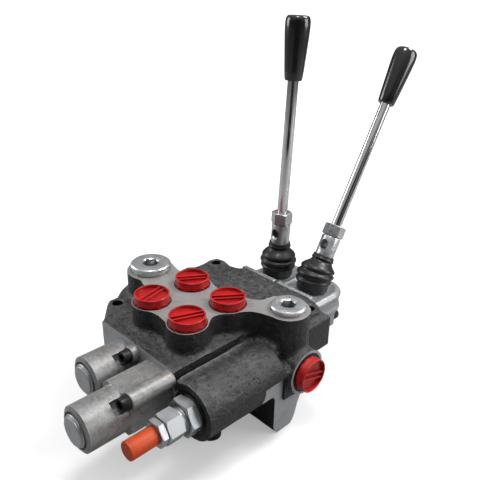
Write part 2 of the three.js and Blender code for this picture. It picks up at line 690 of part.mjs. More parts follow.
// Stations along the relief valve's axis, from the body outwards.
const BIG_HEX_Y = FRONT_Y - 1.4;
const NECK_Y = -54.5;
const MIDDLE_HEX_Y = -57.5;
const MIDDLE_HEX_END_Y = -69.6;
const LOCK_NUT_Y = -69.9;
const LOCK_NUT_END_Y = -74.6;
const RELIEF_CAP_Y = -74.9;
const RELIEF_CAP_END_Y = -95;
const RELIEF_SEAT_Y = -22; // the poppet closes here
const ADJUSTER_R = 3.8;
const RELIEF_BORE_R = 5.6;

function reliefCartridge() {
  const turn = Math.PI / 6;
  const outside = join(
    hexY(24, NECK_Y, BIG_HEX_Y, turn),
    drumY(9.2, MIDDLE_HEX_Y - MERGE, NECK_Y + MERGE, ROUND),
    hexY(19, MIDDLE_HEX_END_Y, MIDDLE_HEX_Y, turn),
    drumY(RELIEF_CAVITY_R - MERGE, BIG_HEX_Y - MERGE, -28),
    drumY(8.5, -28.5, -14, SMALL, 7.5),
  );
  const bore = join(
    drumY(ADJUSTER_R + GAP, MIDDLE_HEX_END_Y - 1, -20, SMALL),
    drumY(RELIEF_BORE_R, -50, RELIEF_SEAT_Y, SMALL),
    drumY(3, -30, -10, SMALL),
    drum(2, -12, 12, TINY).translate(0, -24, 0),
  );
  return cut(outside, bore);
}

function reliefCap() {
  const hollowEnd = RELIEF_CAP_END_Y + 10.5;
  return turnedY([
    [0, RELIEF_CAP_END_Y], [5.8, RELIEF_CAP_END_Y], [6.5, RELIEF_CAP_END_Y + 0.7], [6.5, RELIEF_CAP_Y],
    [4.2, RELIEF_CAP_Y], [4.2, hollowEnd], [0, hollowEnd],
  ]);
}

function reliefAdjuster() {
  const flange = RELIEF_BORE_R - 0.4;
  const end = -84;
  const screw = turnedY([
    [0, end], [ADJUSTER_R - 0.4, end], [ADJUSTER_R, end + 0.5], [ADJUSTER_R, -49.6], [flange, -49.6],
    [flange, -45.2], [0, -45.2],
  ], SMALL);
  return cut(screw, hexY(3.4, end - 1, end + 4));
}

function reliefPoppet() {
  const back = RELIEF_SEAT_Y - 4.6;
  return turnedY([
    [0, back - 4.4], [2.2, back - 4.4], [2.2, back], [4.6, back], [4.6, RELIEF_SEAT_Y - 0.6],
    [0, RELIEF_SEAT_Y + 3.5],
  ], SMALL);
}

function addReliefValve() {
  const axis = station(RELIEF_X, 0, RELIEF_Z);
  piece("relief_cartridge", reliefCartridge(), zinc, axis);
  const washer = ring(RELIEF_CAVITY_R - 0.1, 14.2, FRONT_Y - 1.1, FRONT_Y - GAP).rotate([-90, 0, 0]);
  piece("relief_sealing_washer", washer, blackSteel, axis);
  piece("relief_poppet", reliefPoppet(), steel, axis);
  const coil = piece("relief_spring", spring(3.9, 1.4, 18, 6), springSteel, axis);
  coil.rotation.x = Math.PI / 2;
  coil.position.y = RELIEF_SEAT_Y - 4.9;
  piece("relief_adjuster", reliefAdjuster(), steel, axis);
  const threadHole = drumY(ADJUSTER_R + GAP, LOCK_NUT_END_Y - 1, LOCK_NUT_Y + 1, SMALL);
  piece("relief_lock_nut", cut(hexY(17, LOCK_NUT_END_Y, LOCK_NUT_Y, Math.PI / 6), threadHole), zinc, axis);
  piece("relief_cap", reliefCap(), orangePlastic, axis);
}

// ---------------------------------------------------------------- load check

function addLoadCheck() {
  const axis = station(0, CHECK_Y, 0);
  const plugUnder = CORE_UNDER_Z + 0.2;
  const plugTop = CORE_UNDER_Z + 6.5;
  const plugR = CHECK_R + 0.5;
  const plug = turned([
    [0, plugUnder], [plugR - 0.6, plugUnder], [plugR, plugUnder + 0.6], [plugR, plugTop], [0, plugTop],
  ], SMALL);
  piece("check_plug", cut(plug, hexZ(6, plugUnder - 1, plugUnder + 3.3)), steel, axis);
  const seat = CORE_UNDER_Z + 14 - GAP;
  piece("check_poppet", turned([
    [0, seat - 2.3], [2.2, seat - 2.3], [2.2, seat - 1.5], [5.4, seat - 1.5], [5.4, seat], [3.6, seat],
    [3.6, seat + 6.3], [0, seat + 6.3],
  ], SMALL), steel, axis);
}

// ---------------------------------------------------------------- levers

// Screw places of both lever boxes: one low on the right, one higher on the left.
function boxScrewPlaces() {
  return SIDES.flatMap(({ side, x }) => [
    { side, place: "lower", x: x + BOX_SCREW_X, z: -51, headY: 130.5 },
    { side, place: "upper", x: x - BOX_SCREW_X, z: -35, headY: 132 },
  ]);
}

function leverBox(x) {
  const start = REAR_Y + GAP;
  const plan = new THREE.Shape();
  plan.moveTo(-BOX_HALF_WIDTH, start);
  plan.lineTo(BOX_HALF_WIDTH, start);
  plan.lineTo(BOX_HALF_WIDTH, BOX_BACK_Y);
  plan.absarc(0, BOX_BACK_Y, BOX_HALF_WIDTH, 0, Math.PI);
  plan.lineTo(-BOX_HALF_WIDTH, start);
  const upper = alongZ(plan, BOX_STEP_Z - 1, BOX_TOP_Z);
  const lower = block(-BOX_HALF_WIDTH, BOX_HALF_WIDTH, start, 130, BOX_UNDER_Z, BOX_STEP_Z);
  const flange = block(-BOX_HALF_WIDTH, BOX_HALF_WIDTH, start, start + 5, BOX_UNDER_Z - 2, -17);
  const neck = drum(BALL_R + 1.9, BOX_TOP_Z - 2, PIVOT_Z + 4.2).translate(0, PIVOT_Y, 0);
  const cavity = block(-9.6, 9.6, start - 1, 138, -50, -30);
  const socket = drum(BALL_R + 0.35, -40, 0).translate(0, PIVOT_Y, 0);
  const tools = [cavity, socket];
  const behind = BOX_BACK_Y + BOX_HALF_WIDTH + 1;
  for (const { x: screwX, z, headY } of boxScrewPlaces().slice(0, 2)) {
    const sideways = screwX + SPOOL_PITCH / 2;
    tools.push(drumY(SCREW_HOLE_R, start - 1, behind, TINY).translate(sideways, 0, z));
    tools.push(drumY(SCREW_HEAD_R + GAP, headY, behind, SMALL).translate(sideways, 0, z));
  }
  return cut(join(upper, lower, flange, neck), ...tools).translate(x, 0, 0);
}

// Ball, tail and hub in one turned piece about Z, ball centre at the origin.
function leverBallShape() {
  const ballArc = [];
  for (let degrees = -70; degrees <= 55; degrees += 25) {
    const angle = THREE.MathUtils.degToRad(degrees);
    ballArc.push([BALL_R * Math.cos(angle), BALL_R * Math.sin(angle)]);
  }
  const tailArc = [];
  for (let degrees = -90; degrees <= 50; degrees += 35) {
    const angle = THREE.MathUtils.degToRad(degrees);
    tailArc.push([Math.max(0, TAIL_R * Math.cos(angle)), -TAIL_LENGTH + TAIL_R * Math.sin(angle)]);
  }
  const shape = turned([
    ...tailArc, [2.2, -10], ...ballArc, [4.6, 8.2], [4.6, 20.6], [HUB_R - 0.5, 21.4], [HUB_R, 22.2],
    [HUB_R, HUB_TOP], [0, HUB_TOP],
  ], 16);
  const crossHole = drumY(CROSS_HOLE_R, -HUB_R - 1, HUB_R + 1, SMALL).translate(0, 0, CROSS_HOLE_Z);
  return cut(shape, crossHole, drum(ROD_THREAD_R + 0.4, HUB_TOP - 6, HUB_TOP + 1, TINY));
}

const ROD_THREAD_R = 3.2;
const ROD_FOOT = HUB_TOP - 5.6;
const ROD_END = GRIP_Z + 25.4;

function gripShape() {
  const height = GRIP_TOP - GRIP_Z;
  const bore = ROD_R + 0.4;
  const boreEnd = ROD_END + 0.6;
  return turned([
    [0, boreEnd], [bore, boreEnd], [bore, GRIP_Z], [6.6, GRIP_Z], [7.2, GRIP_Z + 1],
    [8.5, GRIP_Z + 0.4 * height], [9.8, GRIP_Z + 0.78 * height], [9.6, GRIP_TOP - 2.4],
    [8.4, GRIP_TOP - 0.5], [6.8, GRIP_TOP], [0, GRIP_TOP],
  ], 18);
}

// Bellows about Z, open through the middle; heights are measured from the ball centre.
// The neck leans with the lever and the base leans only a little, because it grips the box.
function bootShape(tilt) {
  const upright = turnedGeometry([
    [11.9, -3.6], [13.2, -3.6], [13.2, 3], [14.6, 5], [13.4, 7.6], [15.8, 11], [13.2, 13.4], [14.8, 15.4],
    [11.5, 19], [9.3, 22], [9.3, 27], [8.5, 27], [8.5, 21.6], [10.6, 18], [12.2, 13.4], [12.2, 7.6],
    [11.9, 4], [11.9, -3.6],
  ], 16);
  const corners = upright.getAttribute("position");
  const corner = new THREE.Vector3();
  for (let i = 0; i < corners.count; i += 1) {
    corner.fromBufferAttribute(corners, i);
    const lean = BOOT_BASE_LEAN + (1 - BOOT_BASE_LEAN) * THREE.MathUtils.smoothstep(corner.z, 2, 21);
    corner.applyAxisAngle(new THREE.Vector3(1, 0, 0), -THREE.MathUtils.degToRad(tilt) * lean);
    corners.setXYZ(i, corner.x, corner.y, corner.z);
  }
  return solid(upright);
}

function addLevers() {
  for (const { side, x, tilt } of SIDES) {
    piece(`lever_box_${side}`, leverBox(x), dieCast);
    const lever = station(x, PIVOT_Y, PIVOT_Z);
    lever.rotation.x = -THREE.MathUtils.degToRad(tilt);
    piece(`lever_ball_${side}`, leverBallShape(), zinc, lever);
    const nut = hexZ(16, NUT_Z, NUT_TOP);
    const nutHole = drum(ROD_R + GAP, NUT_Z - 1, NUT_TOP + 1, SMALL);
    piece(`lever_lock_nut_${side}`, cut(nut, nutHole), zinc, lever);
    piece(`lever_rod_${side}`, turned([
      [0, ROD_FOOT], [ROD_THREAD_R, ROD_FOOT], [ROD_THREAD_R, HUB_TOP + 0.2], [ROD_R, HUB_TOP + 0.6],
      [ROD_R, ROD_END], [0, ROD_END],
    ], SMALL), chrome, lever);
    piece(`lever_grip_${side}`, gripShape(), blackPlastic, lever);
    const boot = piece(`lever_boot_${side}`, bootShape(tilt), blackRubber);
    boot.position.set(x, PIVOT_Y, PIVOT_Z);
  }
  for (const { side, place, x, z, headY } of boxScrewPlaces()) {
    const length = headY - REAR_Y + SCREW_DEPTH;
    const screw = piece(`box_screw_${place}_${side}`, capScrew(length), blackSteel);
    screw.rotation.z = Math.PI;
    screw.position.set(x, headY, z);
  }
}

// ---------------------------------------------------------------- assembly

piece("valve_body", valveBody(), castIron);
addShippingPlugs();
addSocketPlugs();
addSpools();
addLeftCap();
addRightCap();
addReliefValve();
addLoadCheck();
addLevers();

export default valve;
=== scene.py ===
"""Looks of a two-section hydraulic monoblock valve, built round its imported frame."""

import json
import math

import bpy
from mathutils import Matrix, Vector


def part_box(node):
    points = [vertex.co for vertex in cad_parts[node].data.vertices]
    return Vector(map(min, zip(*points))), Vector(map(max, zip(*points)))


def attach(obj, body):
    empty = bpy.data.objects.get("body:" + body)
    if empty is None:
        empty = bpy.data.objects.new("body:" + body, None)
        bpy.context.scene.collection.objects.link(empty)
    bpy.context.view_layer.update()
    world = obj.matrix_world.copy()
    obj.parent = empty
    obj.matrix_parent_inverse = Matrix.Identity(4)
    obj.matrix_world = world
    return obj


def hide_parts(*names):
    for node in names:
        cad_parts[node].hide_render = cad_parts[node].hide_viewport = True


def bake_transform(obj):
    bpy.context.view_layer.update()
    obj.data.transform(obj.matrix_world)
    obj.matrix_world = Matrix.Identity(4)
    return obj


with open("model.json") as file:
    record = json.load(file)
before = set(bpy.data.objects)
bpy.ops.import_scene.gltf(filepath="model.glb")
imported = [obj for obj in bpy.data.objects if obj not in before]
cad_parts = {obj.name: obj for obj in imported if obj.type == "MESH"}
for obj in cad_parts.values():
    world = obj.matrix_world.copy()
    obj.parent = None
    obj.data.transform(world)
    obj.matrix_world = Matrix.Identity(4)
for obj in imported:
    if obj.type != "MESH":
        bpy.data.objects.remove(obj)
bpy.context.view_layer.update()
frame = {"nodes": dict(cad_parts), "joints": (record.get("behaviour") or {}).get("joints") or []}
nodes = frame["nodes"]

MM = 0.001
UP = Vector((0, 0, 1))

# Places shared by several pieces, most read from the frame.
body_low, body_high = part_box("valve_body")
front_y = body_low.y
rear_y = body_high.y
floor_z = body_low.z
deck_z = -18.5 * MM
spool_z = sum(corner.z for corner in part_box("spool_left")) / 2
spool_x = {side: sum(c.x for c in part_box("spool_" + side)) / 2 for side in ("left", "right")}
joint_place = {
    joint["name"]: Vector(joint["pos_m"]) for joint in frame["joints"] if "pos_m" in joint
}
pivot = {side: joint_place[f"lever_{side}_tilt"] for side in ("left", "right")}
lean = {"left": math.radians(2.4), "right": math.radians(29.7)}


def middle(node):
    low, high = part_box(node)
    return (low + high) / 2


def profile(*corners, rim=0, base=0):
    """(radius, height) corners given in millimetres from a rim and a base."""
    return [(rim + radius * MM, base + height * MM) for radius, height in corners]


def spin(degrees, axis="Z"):
    return Matrix.Rotation(math.radians(degrees), 4, axis)


# ---------------------------------------------------------------- hand tools


def put_down():
    """Leaves edit mode with nothing selected."""
    if bpy.context.object and bpy.context.object.mode != "OBJECT":
        bpy.ops.object.mode_set(mode="OBJECT")
    bpy.ops.object.select_all(action="DESELECT")


def pick_up(*pieces):
    """Selects the pieces; the last one is active."""
    put_down()
    for piece in pieces:
        piece.select_set(True)
    bpy.context.view_layer.objects.active = pieces[-1]
    return pieces[-1]


def call_it(name):
    piece = bpy.context.object
    piece.name = name
    piece.data.name = name
    return piece


def bring_in(name, data):
    """Adds a mesh, a light or a lens to the scene."""
    made = bpy.data.objects.new(name, data)
    bpy.context.scene.collection.objects.link(made)
    return made


def apply_modifier(piece, kind, **settings):
    pick_up(piece)
    modifier = piece.modifiers.new(kind.lower(), kind)
    for setting, value in settings.items():
        setattr(modifier, setting, value)
    bpy.ops.object.modifier_apply(modifier=modifier.name)
    return piece


def turned(name, corners, sides=64, open_middle=False):
    """Turns a piece about Z: a disc is drawn out ring by ring through (radius, height) corners."""
    put_down()
    (radius, height), *steps = corners
    bpy.ops.mesh.primitive_circle_add(
        vertices=sides, radius=radius, fill_type="NGON", location=(0, 0, height)
    )
    piece = call_it(name)
    bpy.ops.object.mode_set(mode="EDIT")
    bpy.ops.mesh.select_mode(type="FACE")
    bpy.ops.mesh.select_all(action="SELECT")
    for next_radius, next_height in steps:
        rise = (0, 0, next_height - height)
        bpy.ops.mesh.extrude_region_move(TRANSFORM_OT_translate={"value": rise})
        wider = next_radius / radius
        centre = (0, 0, next_height)
        bpy.ops.transform.resize(value=(wider, wider, 1), center_override=centre)
        radius, height = next_radius, next_height
    if open_middle:
        join_ends(piece)
    bpy.ops.object.mode_set(mode="OBJECT")
    bpy.ops.object.transform_apply(location=True)
    return face_outwards(piece)


def join_ends(piece):
    """Takes out the two end discs of a ring and bridges their rims."""
    bpy.ops.object.mode_set(mode="OBJECT")
    for face in piece.data.polygons:
        face.select = len(face.vertices) > 4
    bpy.ops.object.mode_set(mode="EDIT")
    bpy.ops.mesh.delete(type="FACE")
    bpy.ops.mesh.select_mode(type="EDGE")
    bpy.ops.mesh.select_all(action="DESELECT")
    bpy.ops.mesh.select_non_manifold()
    bpy.ops.mesh.bridge_edge_loops()


def edit_all(piece, operation, **settings):
    """Runs one mesh operation over the whole of a piece."""
    pick_up(piece)
    bpy.ops.object.mode_set(mode="EDIT")
    bpy.ops.mesh.select_all(action="SELECT")
    operation(**settings)
    bpy.ops.object.mode_set(mode="OBJECT")
    return piece


def face_outwards(piece):
    return edit_all(piece, bpy.ops.mesh.normals_make_consistent, inside=False)


def block(name, low, high):
    """A rectangular block between two corners."""
    put_down()
    low, high = Vector(low), Vector(high)
    bpy.ops.mesh.primitive_cube_add(size=1, location=(low + high) / 2, scale=high - low)
    piece = call_it(name)
    bpy.ops.object.transform_apply(location=True, rotation=True, scale=True)
    return piece


def bar(name, radius, start, end, sides=64, end_radius=None):
    """A round or many-sided bar between two points, its first corner towards +X or up."""
    put_down()
    start, end = Vector(start), Vector(end)
    bpy.ops.mesh.primitive_cone_add(
        vertices=sides,
        radius1=radius,
        radius2=radius if end_radius is None else end_radius,
        depth=(end - start).length,
    )
    piece = call_it(name)
    turn = UP.rotation_difference(end - start).to_matrix().to_4x4()
    return place(piece, Matrix.Translation((start + end) / 2) @ turn)


def bar_along(axis, name, radius, where, start, end, **shape):
    """A bar along one axis; where gives its other two coordinates in order."""
    ends = [list(where), list(where)]
    for corner, reach in zip(ends, (start, end)):
        corner.insert("XYZ".index(axis), reach)
    return bar(name, radius, *ends, **shape)


def place(piece, matrix):
    """Puts a finished piece where it belongs, its object left at the origin, unturned."""
    pick_up(piece)
    piece.matrix_world = matrix @ piece.matrix_world
    bpy.ops.object.transform_apply(location=True, rotation=True, scale=True)
    return piece


def unite(whole, *others):
    for other in others:
        apply_modifier(whole, "BOOLEAN", object=other, operation="UNION", solver="MANIFOLD")
        bpy.data.objects.remove(other)
    return whole


def carve(piece, *cutters):
    for cutter in cutters:
        apply_modifier(piece, "BOOLEAN", object=cutter, operation="DIFFERENCE", solver="MANIFOLD")
        bpy.data.objects.remove(cutter)
    return piece


def keep_inside(piece, mould):
    apply_modifier(piece, "BOOLEAN", object=mould, operation="INTERSECT", solver="MANIFOLD")
    bpy.data.objects.remove(mould)
    return piece


def break_edges(piece, width, segments=2, angle=30):
    """Rounds every edge sharper than the angle."""
    return apply_modifier(
        piece,
        "BEVEL",
        width=width,
        segments=segments,
        limit_method="ANGLE",
        angle_limit=math.radians(angle),
        miter_outer="MITER_ARC",
        use_clamp_overlap=True,
    )


def shade(piece, angle=35):
    pick_up(piece)
    bpy.ops.object.shade_smooth_by_angle(angle=math.radians(angle))
    return piece


def finish_piece(piece, body, material, slot, *stands_for):
    """Gives a piece its finish, its body and the frame nodes that it stands for."""
    piece.data.materials.clear()
    piece.data.materials.append(material)
    if stands_for:
        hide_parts(*stands_for)
    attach(piece, body)
    return piece


# ---------------------------------------------------------------- cast shapes


def skin(piece, grain):
    """Turns joined rough shapes into one even skin."""
    return apply_modifier(piece, "REMESH", mode="VOXEL", voxel_size=grain)


def swell(piece, distance):
    """Moves the skin outwards along its own normals, or inwards where distance is negative."""
    return apply_modifier(piece, "DISPLACE", strength=distance, mid_level=0)


def fillet_corners(piece, radius, grain):
    """Fills every inside corner to a radius, as a pattern maker does with wax."""
    skin(swell(skin(piece, grain), radius), grain)
    return skin(swell(piece, -radius), grain)


def rub_down(piece, strokes):
    """Softens the outer edges."""
    return apply_modifier(piece, "SMOOTH", factor=0.5, iterations=strokes)


def slice_off(piece, point, normal):
    """Machines the piece flat at a plane and closes the cut."""
    cut = {"plane_co": point, "plane_no": normal, "threshold": 1e-6}
    return edit_all(piece, bpy.ops.mesh.bisect, use_fill=True, clear_outer=True, **cut)


def paint_faces(piece, material, choose):
    """Gives the faces that choose(centre, normal) picks a finish of their own."""
    piece.data.materials.append(material)
    number = len(piece.data.materials) - 1
    for face in piece.data.polygons:
        if choose(face.center, face.normal):
            face.material_index = number


# ---------------------------------------------------------------- valve body


def at(x, y, z):
    """A point given in millimetres."""
    return Vector((x, y, z)) * MM


def choose_faces(piece, choose):
    """Opens the piece for editing with just the faces that choose(centre, normal) picks."""
    pick_up(piece)
    bpy.ops.object.mode_set(mode="EDIT")
    bpy.ops.mesh.select_mode(type="FACE")
    bpy.ops.mesh.select_all(action="DESELECT")
    bpy.ops.object.mode_set(mode="OBJECT")
    for face in piece.data.polygons:
        face.select = choose(face.center, face.normal)
    bpy.ops.object.mode_set(mode="EDIT")


def on_plane(normal, offset):
    normal = Vector(normal)
    return lambda centre, facing: (
        facing.dot(normal) > 0.99 and abs(centre.dot(normal) - offset) < 0.05 * MM
    )


def leave_stock(piece, normal, offset, stock):
    """Moves the faces on a plane outwards: metal that machining takes off again."""
    choose_faces(piece, on_plane(normal, offset))
    bpy.ops.transform.translate(value=Vector(normal) * stock)
    bpy.ops.object.mode_set(mode="OBJECT")


port_names = ("a1", "b1", "a2", "b2")
port_place = {name: middle("port_plug_" + name) for name in port_names}
outlet_top = middle("outlet_socket_plug")
inlet_top = middle("inlet_socket_plug")
gallery_z = -44 * MM
side_face_x = body_high.x
outlet_face_x = body_low.x
relief_x, relief_z = middle("relief_cap").x, middle("relief_cap").z
foot_half_width = 70 * MM
# Where the deck ends and the relief boss begins, in millimetres.
split_x = 39
port_well_radius = 10.75 * MM
outlet_well_radius = 13.7 * MM
mount_holes = [(-62.1 * MM, -22.4 * MM), (-62.1 * MM, 82.8 * MM), (46 * MM, 82.8 * MM)]
check_y = middle("check_plug").y

machined_planes = [
    ((0, 0, 1), 0),
    ((0, -1, 0), -front_y),
    ((0, 1, 0), rear_y),
    ((1, 0, 0), side_face_x),
    ((-1, 0, 0), -outlet_face_x),
    ((0, 0, -1), -floor_z),
]


def fill_galleries(casting):
    """Packs the drilled insides with cores, so that the skin is the outer surface alone."""
    stock = 1.9 * MM
    outlet, inlet = 14.6 * MM, 11.6 * MM
    before, beside = front_y - stock, outlet_face_x - stock
    cores = [
        block("core", at(-47, -44, -61), at(39, 69, -19)),
        block("core", (-36 * MM, before, -56 * MM), at(36, -43, -22)),
        block("core", at(-36, 60, -50.5), (36 * MM, rear_y + stock, -24.5 * MM)),
    ]
    cores += [
        bar_along(axis, "core", radius, where, start, end)
        for axis, radius, where, start, end in (
            ("Z", outlet, outlet_top.xy, -50 * MM, stock),
            ("Z", inlet, inlet_top.xy, -50 * MM, stock),
            ("X", inlet, (inlet_top.y, gallery_z), 30 * MM, side_face_x + stock),
            ("X", outlet, (outlet_top.y, gallery_z), beside, -40 * MM),
            ("Y", 12.4 * MM, (relief_x, relief_z), before, 20 * MM),
            ("Y", 7 * MM, (relief_x, relief_z), 15 * MM, 45 * MM),
        )
    ]
    for port in port_place.values():
        cores.append(bar_along("Z", "core", inlet, port.xy, -25 * MM, stock))
    for hole in mount_holes:
        under = -50 * MM if hole[0] > 0 else -34.8 * MM
        cores.append(bar_along("Z", "core", 5 * MM, hole, under, deck_z - 0.2 * MM))
    pick_up(*cores, casting)
    bpy.ops.object.join()


def uneven(piece, height, size):
    """Sand-cast surfaces are never quite flat."""
    waves = bpy.data.textures.new("casting_waves", "CLOUDS")
    waves.noise_scale = size
    waves.noise_depth = 2
    return apply_modifier(
        piece, "DISPLACE", strength=height, mid_level=0.5, texture=waves, texture_coords="LOCAL"
    )


def drill(piece, x, y, corners):
    """Drills a stepped hole downwards at (x, y): (radius, height) corners from the top."""
    hole = turned("drill", corners, sides=48)
    carve(piece, place(hole, Matrix.Translation((x, y, 0))))


def drill_ports(casting):
    spot_face, spot_depth = 14.3 * MM, -0.35 * MM
    above, well_depth = MM, -14 * MM
    for port in port_place.values():
        drill(casting, port.x, port.y, [
            (spot_face, above), (spot_face, spot_depth),
            (port_well_radius + 0.8 * MM, spot_depth),
            (port_well_radius, -1.2 * MM), (port_well_radius, well_depth),
        ])
    for top, radius in ((outlet_top, outlet_well_radius), (inlet_top, port_well_radius)):
        drill(casting, top.x, top.y, [(radius, above), (radius, well_depth)])
    hole = 4.35 * MM
    for x, y in mount_holes:
        countersink = profile((1, 1), (1, 0.2), (0, -0.7), rim=hole, base=deck_z)
        drill(casting, x, y, [*countersink, (hole, floor_z)])
    drill(casting, 0, check_y, profile((7.3, -70), (7.3, -42)))


def bore_sides(casting):
    """Bores the front, rear and side faces, with a shallow ring round two of the ports."""
    before, behind = front_y - MM, rear_y + MM
    right, left = side_face_x + MM, outlet_face_x - MM
    inlet, outlet = (inlet_top.y, gallery_z), (outlet_top.y, gallery_z)
    relief = (relief_x, relief_z)
    depth = 15 * MM
    for x in spool_x.values():
        carve(casting, bar_along("Y", "bore", 8.3 * MM, (x, spool_z), before, behind))
    well = bar_along("X", "bore", port_well_radius, inlet, right, side_face_x - depth)
    ring = bar_along("X", "bore", 15.4 * MM, inlet, right, side_face_x - 0.4 * MM)
    outlet_well = bar_along("X", "bore", outlet_well_radius, outlet, left, outlet_face_x + depth)
    relief_well = bar_along("Y", "bore", 11.5 * MM, relief, before, front_y + depth)
    relief_ring = bar_along("Y", "bore", 16.2 * MM, relief, before, front_y + 0.5 * MM)
    carve(casting, ring, well, outlet_well, relief_ring, relief_well)


def parting_slot():
    """Cutter for the slot between the deck and the relief boss; it runs out towards the rear."""
    end, top = 19, -16.8
    slot = block("slot", at(37.4, -52, -35), at(40.4, end, top))
    choose_faces(slot, lambda centre, facing: facing.y > 0.9)
    bpy.ops.transform.resize(value=(1, 1, 0.3), center_override=at(split_x, end, top))
    bpy.ops.object.mode_set(mode="OBJECT")
    return slot


def make_body():
    grain, stock = 1.0 * MM, 2 * MM
    casting = bring_in("valve_body_casting", nodes["valve_body"].data.copy())
    edit_all(casting, bpy.ops.mesh.remove_doubles, threshold=1e-6)
    for normal, offset in machined_planes:
        leave_stock(casting, normal, offset, stock)
    for side in (1, -1):
        leave_stock(casting, (side, 0, 0), foot_half_width, stock)
    fill_galleries(casting)
    fillet_corners(casting, 2.2 * MM, grain)
    carve(casting, parting_slot())
    rub_down(casting, 3)
    uneven(casting, 0.35 * MM, 9 * MM)
    for normal, offset in machined_planes:
        slice_off(casting, Vector(normal) * offset, normal)
    for low, high in (
        ((foot_half_width, 5 * MM, -95 * MM), at(75, 60, -61.8)),
        ((foot_half_width, 5 * MM, -62.5 * MM), at(75, 27, -40)),
        (at(-75, 5, -95), (-foot_half_width, 60 * MM, -62.8 * MM)),
    ):
        carve(casting, block("end", low, high))
    drill_ports(casting)
    bore_sides(casting)
    return casting


# ---------------------------------------------------------------- surface effects


def node(tree, kind, inputs=None, **settings):
    """Adds a node; an input given as a socket is wired, anything else is its value."""
    made = tree.nodes.new("ShaderNode" + kind)
    for setting, value in settings.items():
        setattr(made, setting, value)
    for socket, value in (inputs or {}).items():
        if isinstance(value, bpy.types.NodeSocket):
            tree.links.new(value, made.inputs[socket])
        else:
            made.inputs[socket].default_value = value
    return made


def noise(tree, place, scale, detail=3, roughness=0.5, distortion=0):
    inputs = {"Vector": place, "Scale": scale, "Detail": detail}
    inputs |= {"Roughness": roughness, "Distortion": distortion}
    return node(tree, "TexNoise", inputs).outputs["Fac"]


def spread(tree, value, low, high, to_low=0.0, to_high=1.0):
    """Eases a value from one range into another."""
    ends = {"From Min": low, "From Max": high, "To Min": to_low, "To Max": to_high}
    return node(
        tree, "MapRange", {"Value": value, **ends}, interpolation_type="SMOOTHSTEP"
    ).outputs["Result"]


def work(tree, operation, first, second=0.5):
    return node(tree, "Math", {0: first, 1: second}, operation=operation).outputs[0]


def weighed(tree, first, first_weight, second, second_weight):
    """The sum of two values, each times its weight."""
    first = work(tree, "MULTIPLY", first, first_weight)
    return work(tree, "ADD", first, work(tree, "MULTIPLY", second, second_weight))


def mixed(tree, share, first, second, way="MIX"):
    return node(
        tree, "Mix", {0: share, 6: first, 7: second}, data_type="RGBA", blend_type=way
    ).outputs[2]


def effect(name, inputs, outputs):
    """An empty effect with named number inputs and outputs, and its two end nodes."""
    group = bpy.data.node_groups.new(name, "ShaderNodeTree")
    for label, value in inputs.items():
        socket = group.interface.new_socket(label, in_out="INPUT", socket_type="NodeSocketFloat")
        socket.default_value = value
    for label in outputs:
        group.interface.new_socket(label, in_out="OUTPUT", socket_type="NodeSocketFloat")
    given = group.nodes.new("NodeGroupInput").outputs
    return group, given, group.nodes.new("NodeGroupOutput").inputs


def in_object(tree):
    return node(tree, "TexCoord").outputs["Object"]


def build_edge_wear_and_highlight():
    """Mask of edges rubbed bright and lit by a painted highlight: where a rounded normal leaves
    the true one, broken by noise.
    """
    settings = {"Width": 0.5, "Patch size": 4.0, "Evenness": 0.5}
    group, given, put_out = effect("edge_wear_and_highlight", settings, ["Mask"])
    width = work(group, "MULTIPLY", given["Width"], MM)
    rounded = node(group, "Bevel", {"Radius": width}, samples=6).outputs["Normal"]
    true = node(group, "NewGeometry").outputs["Normal"]
    likeness = node(group, "VectorMath", {0: rounded, 1: true}, operation="DOT_PRODUCT")
    edge = spread(group, likeness.outputs["Value"], 0.995, 0.93)
    scale = work(group, "DIVIDE", 1 / MM, given["Patch size"])
    patches = spread(group, noise(group, in_object(group), scale, 4, 0.6), 0.35, 0.65)
    kept = work(group, "MAXIMUM", patches, given["Evenness"])
    group.links.new(work(group, "MULTIPLY", edge, kept), put_out["Mask"])
    return group


def build_corner_grime_and_shade():
    """Mask of dirt and painted shade that gathers in corners of a piece, read from ambient
    occlusion.
    """
    group, given, put_out = effect("corner_grime_and_shade", {"Reach": 6.0, "Strength": 1.0}, ["Mask"])
    reach = work(group, "MULTIPLY", given["Reach"], MM)
    open_air = node(
        group, "AmbientOcclusion", {"Distance": reach}, samples=8, only_local=True
    ).outputs["AO"]
    shut_in = spread(group, open_air, 0.9, 0.35)
    patches = noise(group, in_object(group), 120, 4, 0.6)
    patched = work(group, "MULTIPLY", shut_in, spread(group, patches, 0.2, 0.6, 0.6, 1))
    strength = node(
        group, "Math", {0: patched, 1: given["Strength"]}, operation="MULTIPLY", use_clamp=True
    )
    group.links.new(strength.outputs[0], put_out["Mask"])
    return group


def build_cast_grain():
    """Sand-cast skin: grains, pits and slow swells, as a height and as a tone."""
    group, given, put_out = effect("cast_grain", {"Grain": 0.8}, ["Height", "Tone"])
    place = in_object(group)
    fine_scale = work(group, "DIVIDE", 1 / MM, given["Grain"])
    coarse_scale = work(group, "MULTIPLY", fine_scale, 0.27)
    fine = noise(group, place, fine_scale, 3, 0.6)
    coarse = noise(group, place, coarse_scale, 4, 0.55)
    pits = node(group, "TexVoronoi", {"Vector": place, "Scale": coarse_scale}).outputs["Distance"]
    pit = spread(group, pits, 0.05, 0.34)
    both = weighed(group, fine, 0.45, coarse, 0.55)
    height = weighed(group, both, 0.8, pit, 0.2)
    group.links.new(height, put_out["Height"])
    group.links.new(spread(group, both, 0.36, 0.64), put_out["Tone"])
    return group


